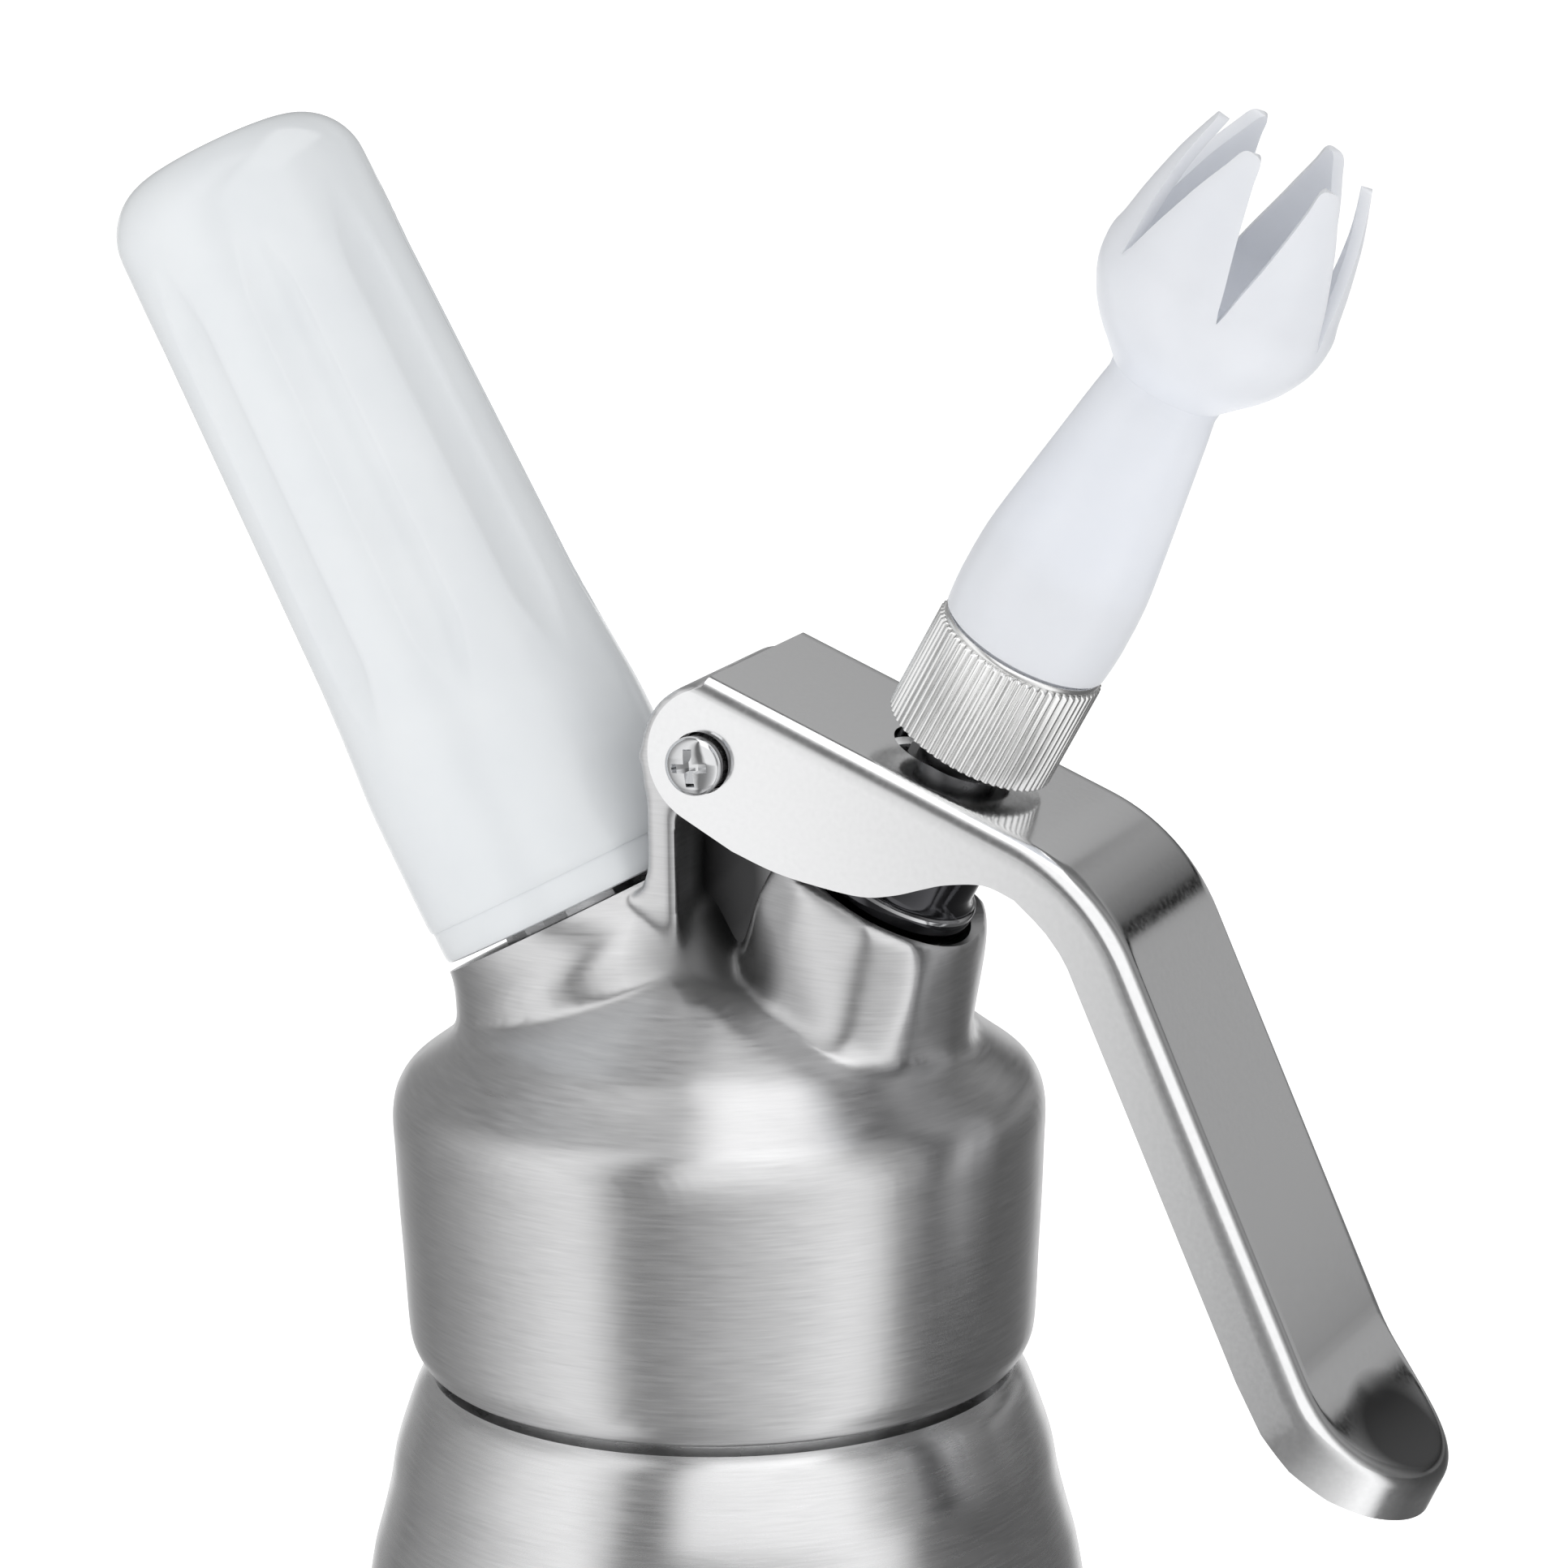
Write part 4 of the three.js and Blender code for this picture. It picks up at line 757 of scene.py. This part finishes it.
# %% Turn the collar and the stem
collar_section = [
    (4.5, 39.5), (8, 39.5), (8.7, 39.8), (9.1, 40.6), (9.22, 41.5), (9.28, 42.6), (9.22, 42.9), (9.05, 43),
    (8.8, 43.05), (8.55, 43.3), (8.35, 43.8), (8.25, 44.5), (8.2, 52), (7, 54.2), (6.7, 54.5), (4.5, 54.5)]
collar = turned(collar_section, 120, closed=True, place=NOZZLE)
finished("collar_turned", collar, "valve", "valve_collar", COLLAR_CHROME, sharp=40)

stem_section = [
    (0, 4), (5.3, 4), (5.6, 9.4), (4.2, 9.4), (4.2, 20), (3.3, 20), (3.3, 21.5), (4.2, 21.5), (4.2, 80),
    (2.6, 80.2), (2.6, 11.4), (0, 11.4)]
stem = turned(stem_section, 72)
port = rod(1.5, -7, 7, 24, Matrix.Translation((0, 0, 14.4)) @ SIDEWAYS)
stem = cut(stem, port)
bmesh.ops.transform(stem, matrix=NOZZLE, verts=stem.verts)
finished("stem_turned", stem, "valve", "valve_stem", DARK)

# %% [markdown]
# The return spring sits in the valve bore under the collar. A round wire is wound on a helix from
# its foot on the head up to the collar.

# %% Wind the return spring
SPRING_RADIUS = 7.4
WIRE_RADIUS = 0.7
SPRING_FOOT, SPRING_TIP = 29.6, 38.5
SPRING_TURNS = 4.5
STEPS_PER_TURN = 40


def wound_wire():
    bm = bmesh.new()
    steps = round(SPRING_TURNS * STEPS_PER_TURN)
    wire = corner_arc((SPRING_RADIUS, 0), WIRE_RADIUS, 0, 324, 9)  # ten corners, 36 degrees apart
    rings = []
    for step in range(steps + 1):
        turn = Matrix.Rotation(2 * math.pi * step / STEPS_PER_TURN, 4, "Z")
        height = SPRING_FOOT + (SPRING_TIP - SPRING_FOOT) * step / steps
        rings.append([bm.verts.new(turn @ Vector((r, 0, z + height))) for r, z in wire])
    for low, high in zip(rings, rings[1:]):
        for corner in range(len(wire)):
            after = (corner + 1) % len(wire)
            bm.faces.new((low[corner], low[after], high[after], high[corner]))
    bm.faces.new(rings[0])
    bm.faces.new(rings[-1])
    bmesh.ops.transform(bm, matrix=NOZZLE, verts=bm.verts)
    return bm


finished(
    "spring_wound", wound_wire(), "valve", "valve_spring", STEEL, sharp=50,
    foot=NOZZLE @ Vector((0, 0, SPRING_FOOT)))

# %% [markdown]
# ## The lever
# The lever is pressed from one sheet: a channel with a bent arm, a half-round end and two deep
# ears at the hinge. It is made flat first, the way the press would: a section of the channel is
# drawn out along its length, and the same section is spun half a turn for the round end. Then
# every point is carried round the bends, which keeps the sheet's edge radius even all the way.

# %% The unbent channel
PLATE_RISE = 8.45
PLATE_START = -9
PLATE_LENGTH = 44.15
ARM_BEND = math.radians(44.2)
BEND_RADIUS = 22
ARM_LENGTH = 71.5
HALF_WIDTH = 13.25
SHEET_THICKNESS = 1.5
EDGE_RADIUS = 1.9
FLANGE_DEPTH = 15.5
LENGTH_STEPS = 90
TURN_UP_LENGTH = 17
TURN_UP_RADIUS = 24
tangent = BEND_RADIUS * math.tan(ARM_BEND / 2)
straight_one = PLATE_LENGTH - tangent
bend_length = BEND_RADIUS * ARM_BEND
flat_length = straight_one + bend_length + ARM_LENGTH - tangent
END_CENTRE = flat_length - HALF_WIDTH


def channel_half():
    """Half a section, as (out, up) from the middle of the face to the foot of the flange."""
    flat = [(HALF_WIDTH - EDGE_RADIUS) * share for share in (0, 0.2, 0.4, 0.6, 0.8, 0.94)]
    corner = corner_arc((HALF_WIDTH - EDGE_RADIUS, -EDGE_RADIUS), EDGE_RADIUS, 90, 0, 8)
    foot_line = [(HALF_WIDTH, -EDGE_RADIUS - FLANGE_DEPTH * share) for share in (0.06, 0.2, 0.4, 0.6, 0.8, 1)]
    return [(x, 0) for x in flat] + corner + foot_line


def flat_channel():
    bm = bmesh.new()
    half = channel_half()
    full = [(-y, z) for y, z in reversed(half[1:])] + half
    chain = [bm.verts.new((PLATE_START, y, z)) for y, z in full]
    edges = [bm.edges.new(pair) for pair in zip(chain, chain[1:])]
    stride = (END_CENTRE - PLATE_START) / LENGTH_STEPS
    for _ in range(LENGTH_STEPS):
        grown = bmesh.ops.extrude_edge_only(bm, edges=edges)["geom"]
        edges = of_kind(grown, bmesh.types.BMEdge)
        bmesh.ops.translate(bm, vec=(stride, 0, 0), verts=of_kind(grown, bmesh.types.BMVert))
    ends = [e for e in edges if (e.verts[0].co + e.verts[1].co).y <= 1e-6]
    last = sorted({v for e in ends for v in e.verts}, key=lambda v: v.co.y)
    bmesh.ops.spin(
        bm, geom=last + ends, cent=(END_CENTRE, 0, 0), axis=(0, 0, 1), angle=math.pi, steps=48,
        use_duplicate=False)
    bmesh.ops.remove_doubles(bm, verts=bm.verts, dist=1e-3)
    bmesh.ops.recalc_face_normals(bm, faces=bm.faces)
    return bm


channel = flat_channel()
print("flat channel:", len(channel.faces), "faces")

# %% [markdown]
# A point of the flat channel is placed by its distance along the sheet and its height over it.
# Before the bend it moves straight, in the bend round a centre below, along the arm straight
# again, and over the last stretch round a centre above, which turns the tip up.


# %% Carry the channel round its bends
def bent(along, rise):
    if along < straight_one:
        return along, PLATE_RISE + rise
    angle = min((along - straight_one) / BEND_RADIUS, ARM_BEND)
    centre = (straight_one, PLATE_RISE - BEND_RADIUS)
    reach = BEND_RADIUS + rise
    x, z = centre[0] + reach * math.sin(angle), centre[1] + reach * math.cos(angle)
    beyond = along - straight_one - bend_length
    if beyond <= 0:
        return x, z
    down, out = (math.cos(ARM_BEND), -math.sin(ARM_BEND)), (math.sin(ARM_BEND), math.cos(ARM_BEND))
    up_start = flat_length - TURN_UP_LENGTH - straight_one - bend_length
    plain = min(beyond, up_start)
    x, z = x + down[0] * plain, z + down[1] * plain
    if beyond <= up_start:
        return x, z
    turn = (beyond - up_start) / TURN_UP_RADIUS
    reach = TURN_UP_RADIUS - rise
    lift, run = TURN_UP_RADIUS - rise - reach * math.cos(turn), reach * math.sin(turn)
    return x + out[0] * lift + down[0] * run, z + out[1] * lift + down[1] * run


for point in channel.verts:
    point.co.x, point.co.z = bent(point.co.x, point.co.z)
channel.normal_update()
channel = with_modifier(
    channel, "SOLIDIFY", {"thickness": SHEET_THICKNESS, "offset": -1, "use_even_offset": True})

# %% [markdown]
# The flanges are still too deep. A plate with the outline of the real side view is sawn, and only
# what lies inside it stays: the round ears, the belly under the hinge and the shallow flange of
# the arm. The sheet between the ears, the pivot holes and the slot for the stem go as well.


# %% The side outline, pivot holes and slot
ARM_FLANGE = 6.6
BEYOND_ARM, ABOVE_PLATE = 110, 30
EARS_APART = 22.9
PLATE_EDGE = -2.76
SLOT_RADIUS = 5.6
SLOT_LENGTHENED = 1.7


def side_outline():
    ear = corner_arc((1.2, 1.1), 7.5, 122, 262, 26)
    belly = flowing([
        (6.7, -7.1), (11.7, -6.95), (16.2, -6.2), (21.5, -4.85), (24.75, -3), (27.25, -1), (29.5, 0.7),
        (33.2, 2.55), (36.75, 2.7)], 5)
    arm_start = straight_one + bend_length
    arm = [
        bent(straight_one + bend_length * share, -ARM_FLANGE + 0.75 * (1 - share))
        for share in (0.35, 0.5, 0.7, 0.85, 1)]
    depths = [
        (0.25, ARM_FLANGE), (0.5, ARM_FLANGE), (0.7, ARM_FLANGE), (0.78, 6.5), (0.84, 6.3), (0.9, 6),
        (0.95, 5.8), (1, 5.8)]
    arm += [bent(arm_start + (flat_length - arm_start) * share, -depth) for share, depth in depths]
    return [*ear, *belly, *arm, (BEYOND_ARM, arm[-1][1]), (BEYOND_ARM, ABOVE_PLATE), (ear[0][0], ABOVE_PLATE)]


lever = combined(channel, sawn(side_outline(), 60), "INTERSECT")
between_ears = bmesh.new()
bmesh.ops.create_cube(between_ears, size=1)
bmesh.ops.scale(between_ears, vec=(20, EARS_APART, 40), verts=between_ears.verts)
bmesh.ops.translate(between_ears, vec=(PLATE_EDGE - 20 / 2, 0, 0), verts=between_ears.verts)
pivot_hole = rod(3.3, -20, 20, 72, SIDEWAYS)
stem_path = LEVER.inverted() @ NOZZLE
slot_back = stem_path @ Matrix.Translation((-SLOT_LENGTHENED, 0, 0))
slot_cut = joined(*[rod(SLOT_RADIUS, 45, 60, 64, place) for place in (stem_path, slot_back)])
lever = cut(lever, between_ears, pivot_hole, slot_cut)
bmesh.ops.transform(lever, matrix=LEVER, verts=lever.verts)
finished("lever_pressed", lever, "lever", "lever", SHEET, sharp=40, bevel=0.2)

# %% [markdown]
# ## Pivot screws
# A cross-slotted pan head stands in each ear. The head is turned, the slots are two thin plates
# with pointed ends, and a washer sits behind it.


# %% Turn the screws and washers
WASHER_FOOT, WASHER_TOP = 13.85, 14.35


def on_side(side):
    """The pivot's axis, pointing out of the near side for 1 and out of the far side for -1."""
    return Matrix.Translation(PIVOT) @ Matrix.Rotation(side * math.pi / 2, 4, "X")


def pan_screw(side):
    crown = [(3.15, 14.75), (3.12, 15), (2.95, 15.3), (2.6, 15.6), (2.1, 15.85), (1.4, 16.02), (0.7, 16.09)]
    section = [(0, 5.8), (1.4, 5.8), (1.4, 14.55), (3, 14.55), *crown, (0, 16.1)]
    bm = turned(section, 72)
    for turn in (0.08, 0.08 + math.pi / 2):
        bar = sawn([(-2.2, 16.4), (-1.75, 15.2), (-0.6, 14.7), (0.6, 14.7), (1.75, 15.2), (2.2, 16.4)], 0.95)
        bmesh.ops.rotate(bar, cent=(0, 0, 0), matrix=Matrix.Rotation(turn, 3, "Z"), verts=bar.verts)
        bm = cut(bm, bar)
    bmesh.ops.transform(bm, matrix=on_side(side), verts=bm.verts)
    return bm


def pivot_washer(side):
    section = [(1.6, WASHER_FOOT), (3.05, WASHER_FOOT), (3.05, WASHER_TOP), (1.6, WASHER_TOP)]
    return turned(section, 72, closed=True, place=on_side(side))


for side, word in ((1, "near"), (-1, "far")):
    finished(
        f"screw_{word}", pan_screw(side), "head", f"pivot_screw_{word}", SCREW_STEEL,
        sharp=30, bevel=0.12)
    finished(f"washer_{word}", pivot_washer(side), "head", f"pivot_washer_{word}", DARK, bevel=0.1)

# %% [markdown]
# ## Finishes of the inner pieces
# Seals, bushes and the charger are hidden or nearly so, and the faceted pieces have the right
# shape. They only need a fitting material in place of the plain one they came with.

# %% Give the carried-over pieces their materials
INNER = {
    "head_gasket": SILICONE, "charger_port": STEEL, "piercing_pin": STEEL, "port_gasket": RUBBER,
    "non_return_valve": RUBBER, "gas_charger": STEEL, "holder_insert": BRIGHT, "valve_guide": BRASS,
    "stem_seal": RUBBER, "stem_slide_ring": RUBBER, "collar_clip": DARK,
    "adapter_seal": RUBBER, "tip_washer": RUBBER, "pivot_sleeve": STEEL,
}
for name, material in INNER.items():
    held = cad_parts[name]
    if not held.material_slots:
        held.data.materials.append(material)
    for place in held.material_slots:
        place.material = material
print("inner pieces:", len(INNER))

# %% [markdown]
# ## The studio
# The picture has a pure white ground. The floor and the world show white to the camera and to
# reflections, and less light than that reaches matt surfaces. Metal needs something to reflect:
# tall cards stand round the object like the flats of a studio, some dark and some bright, and a
# soft box hangs over it.


# %% White world and floor
def seen_directly(tree, otherwise, seen):
    """One strength for what matt surfaces receive, another for the camera and for reflections."""
    path = node(tree, "LightPath", {})
    total = path.outputs["Is Camera Ray"]
    for ray in ("Is Glossy Ray", "Is Transmission Ray"):
        total = worked_out(tree, "MAXIMUM", total, path.outputs[ray])
    return spread(tree, total, otherwise, seen, 0, 1)


def white_world():
    world = bpy.data.worlds.new("studio")
    bpy.context.scene.world = world
    world.use_nodes = True
    tree = world.node_tree
    fill(tree, tree.nodes["Background"], {"Color": (1, 1, 1, 1), "Strength": seen_directly(tree, 0.62, 1)})


def pale_floor():
    bm = bmesh.new()
    bmesh.ops.create_grid(bm, x_segments=1, y_segments=1, size=6)
    floor = object_from(bm, "floor")
    material, tree, shader = new_material("floor_white")
    fill(tree, shader, {
        "Base Color": (0.9, 0.9, 0.9, 1), "Roughness": 0.9, "Emission Color": (1, 1, 1, 1),
        "Emission Strength": seen_directly(tree, 0.4, 0.66)})
    floor.data.materials.append(material)


white_world()
pale_floor()
print("world and floor are white")

# %% [markdown]
# A shiny thing shows its surroundings, so photographers stand it in a light tent: a ring of cloth
# with bright and dark panels, which only the metal sees here. The panels are one ramp of light
# levels over the angle round the object, another ramp for the upper half, and cards on top.


# %% The light tent
def unlit(name, level):
    """A surface that only glows, and that only reflections see."""
    material, tree, shader = new_material(name)
    fill(tree, shader, {
        "Base Color": (0, 0, 0, 1), "Specular IOR Level": 0, "Emission Color": (1, 1, 1, 1),
        "Emission Strength": level})
    return material, tree, shader


def only_reflected(flat, material):
    flat.data.materials.append(material)
    flat.visible_camera = False
    flat.visible_diffuse = False
    flat.visible_shadow = False


def panel_levels(tree, angle, panels):
    """Light levels by angle in degrees, seen from the camera's side, positive to the right."""
    ramp = node(tree, "ValToRGB", {"Fac": angle})
    stops = ramp.color_ramp.elements
    while len(stops) < len(panels):
        stops.new(0.5)
    for stop, (degrees, level) in zip(stops, panels):
        stop.position = degrees / 360 + 0.5
        stop.color = (level, level, level, 1)
    return ramp.outputs["Color"]


LOW_PANELS = [
    (-180, 1), (-160, 1), (-150, 0.42), (-130, 0.25), (-100, 0.42), (-62, 1), (-48, 1.15), (-40, 0.8),
    (-33, 0.26), (-18, 0.3), (0, 0.5), (28, 0.85), (46, 1.2), (56, 1.1), (67, 0.2), (90, 0.12), (130, 0.14),
    (145, 0.25), (158, 1), (180, 1)]
HIGH_PANELS = [
    (-180, 0.28), (-120, 0.31), (-95, 0.6), (-75, 1), (-55, 1.15), (-40, 0.8), (-33, 0.2), (-23, 0.2),
    (-12, 1.2), (44, 1.2), (60, 0.5), (75, 0.24), (92, 0.32), (120, 0.2), (150, 0.15), (172, 0.3),
    (180, 0.28)]
LOW_PANELS_END, HIGH_PANELS_START = 0.17, 0.2


def light_tent():
    wall = [(0.05, 0.001), (0.42, 0.002), (0.42, 0.165), (1.5, 0.175), (1.5, 1.2), (1, 1.7), (0, 1.8)]
    tent = object_from(turned(wall, 96), "light_tent")
    material, tree, shader = unlit("tent_cloth", 1)
    facing = placed(tree, turn=(0, 0, -CAMERA_AZIMUTH))
    x, y, z = node(tree, "SeparateXYZ", {"Vector": facing}).outputs
    turn = worked_out(tree, "ARCTAN2", x, worked_out(tree, "MULTIPLY", y, -1))
    angle = spread(tree, turn, 0, 1, -math.pi, math.pi)
    upper = spread(tree, z, 0, 1, LOW_PANELS_END, HIGH_PANELS_START)
    levels = [panel_levels(tree, angle, panels) for panels in (LOW_PANELS, HIGH_PANELS)]
    fill(tree, shader, {"Emission Color": mixed(tree, upper, *levels)})
    only_reflected(tent, material)


light_tent()
print("tent panels:", len(LOW_PANELS), "low,", len(HIGH_PANELS), "high")

# %% [markdown]
# Flat cards hang inside the tent where a single face of the metal needs its own reflection: one
# over the dome, one behind the lever's plate, a row of four that fades round its bend, and a dark
# one that draws the line across the bend. Three lamps light the plastics, and reflections don't
# see them.


# %% Cards and lamps
STUDIO_CENTRE = Vector((0, 0, 0.2))


def direction(azimuth, height):
    """Away from the centre, by an angle to the right of the camera and an angle up, in degrees."""
    a, e = CAMERA_AZIMUTH + math.radians(azimuth), math.radians(height)
    return Vector((math.sin(a) * math.cos(e), -math.cos(a) * math.cos(e), math.sin(e)))


def card(name, azimuth, height, distance, size, level):
    """A flat card that faces the object."""
    bm = bmesh.new()
    bmesh.ops.create_grid(bm, x_segments=1, y_segments=1, size=0.5)
    bmesh.ops.scale(bm, vec=(size[0], size[1], 1), verts=bm.verts)
    towards = direction(azimuth, height)
    turn = towards.to_track_quat("Z", "Y").to_matrix().to_4x4()
    place = Matrix.Translation(STUDIO_CENTRE + towards * distance) @ turn
    bmesh.ops.transform(bm, matrix=place, verts=bm.verts)
    only_reflected(object_from(bm, name), unlit(name, level)[0])


CARDS = [
    ("top_box", 90, 76.9, 0.616, (0.8, 0.38), 1.65), ("plate_card", 160, 31, 1.3, (0.6, 0.26), 0.47),
    ("bend_1", 140, 15, 1.3, (1.2, 0.068), 0.16), ("bend_2", 142, 18, 1.3, (1.2, 0.07), 0.22),
    ("bend_3", 145, 21, 1.3, (1.2, 0.07), 0.3), ("bend_4", 148, 24, 1.3, (1.2, 0.07), 0.38),
    ("dark_flag", 135, 11.6, 1.28, (1.2, 0.09), 0), ("arm_card", 130, 4.5, 1.4, (0.9, 0.34), 0.41),
]
for name, azimuth, height, distance, size, level in CARDS:
    card(name, azimuth, height, distance, size, level)
print("cards:", len(CARDS))


def soft_box(name, azimuth, height, distance, size, power):
    light = bpy.data.lights.new(name, "AREA")
    light.shape, light.size, light.size_y, light.energy = "RECTANGLE", size[0], size[1], power
    lamp = bpy.data.objects.new(name, light)
    lamp.visible_glossy = False
    bpy.context.scene.collection.objects.link(lamp)
    towards = direction(azimuth, height)
    lamp.location = STUDIO_CENTRE + towards * distance
    lamp.rotation_mode = "QUATERNION"
    lamp.rotation_quaternion = towards.to_track_quat("Z", "Y")


soft_box("box_left", -58, 25, 1.3, (0.5, 1.0), 2.2)
soft_box("box_right", 45, 20, 1.3, (0.45, 1.0), 1.6)
soft_box("box_top", 0, 80, 1.2, (0.9, 0.7), 1.5)
print("lamps:", len(bpy.data.lights))

# %% Look settings
bpy.context.scene.view_settings.view_transform = "Standard"
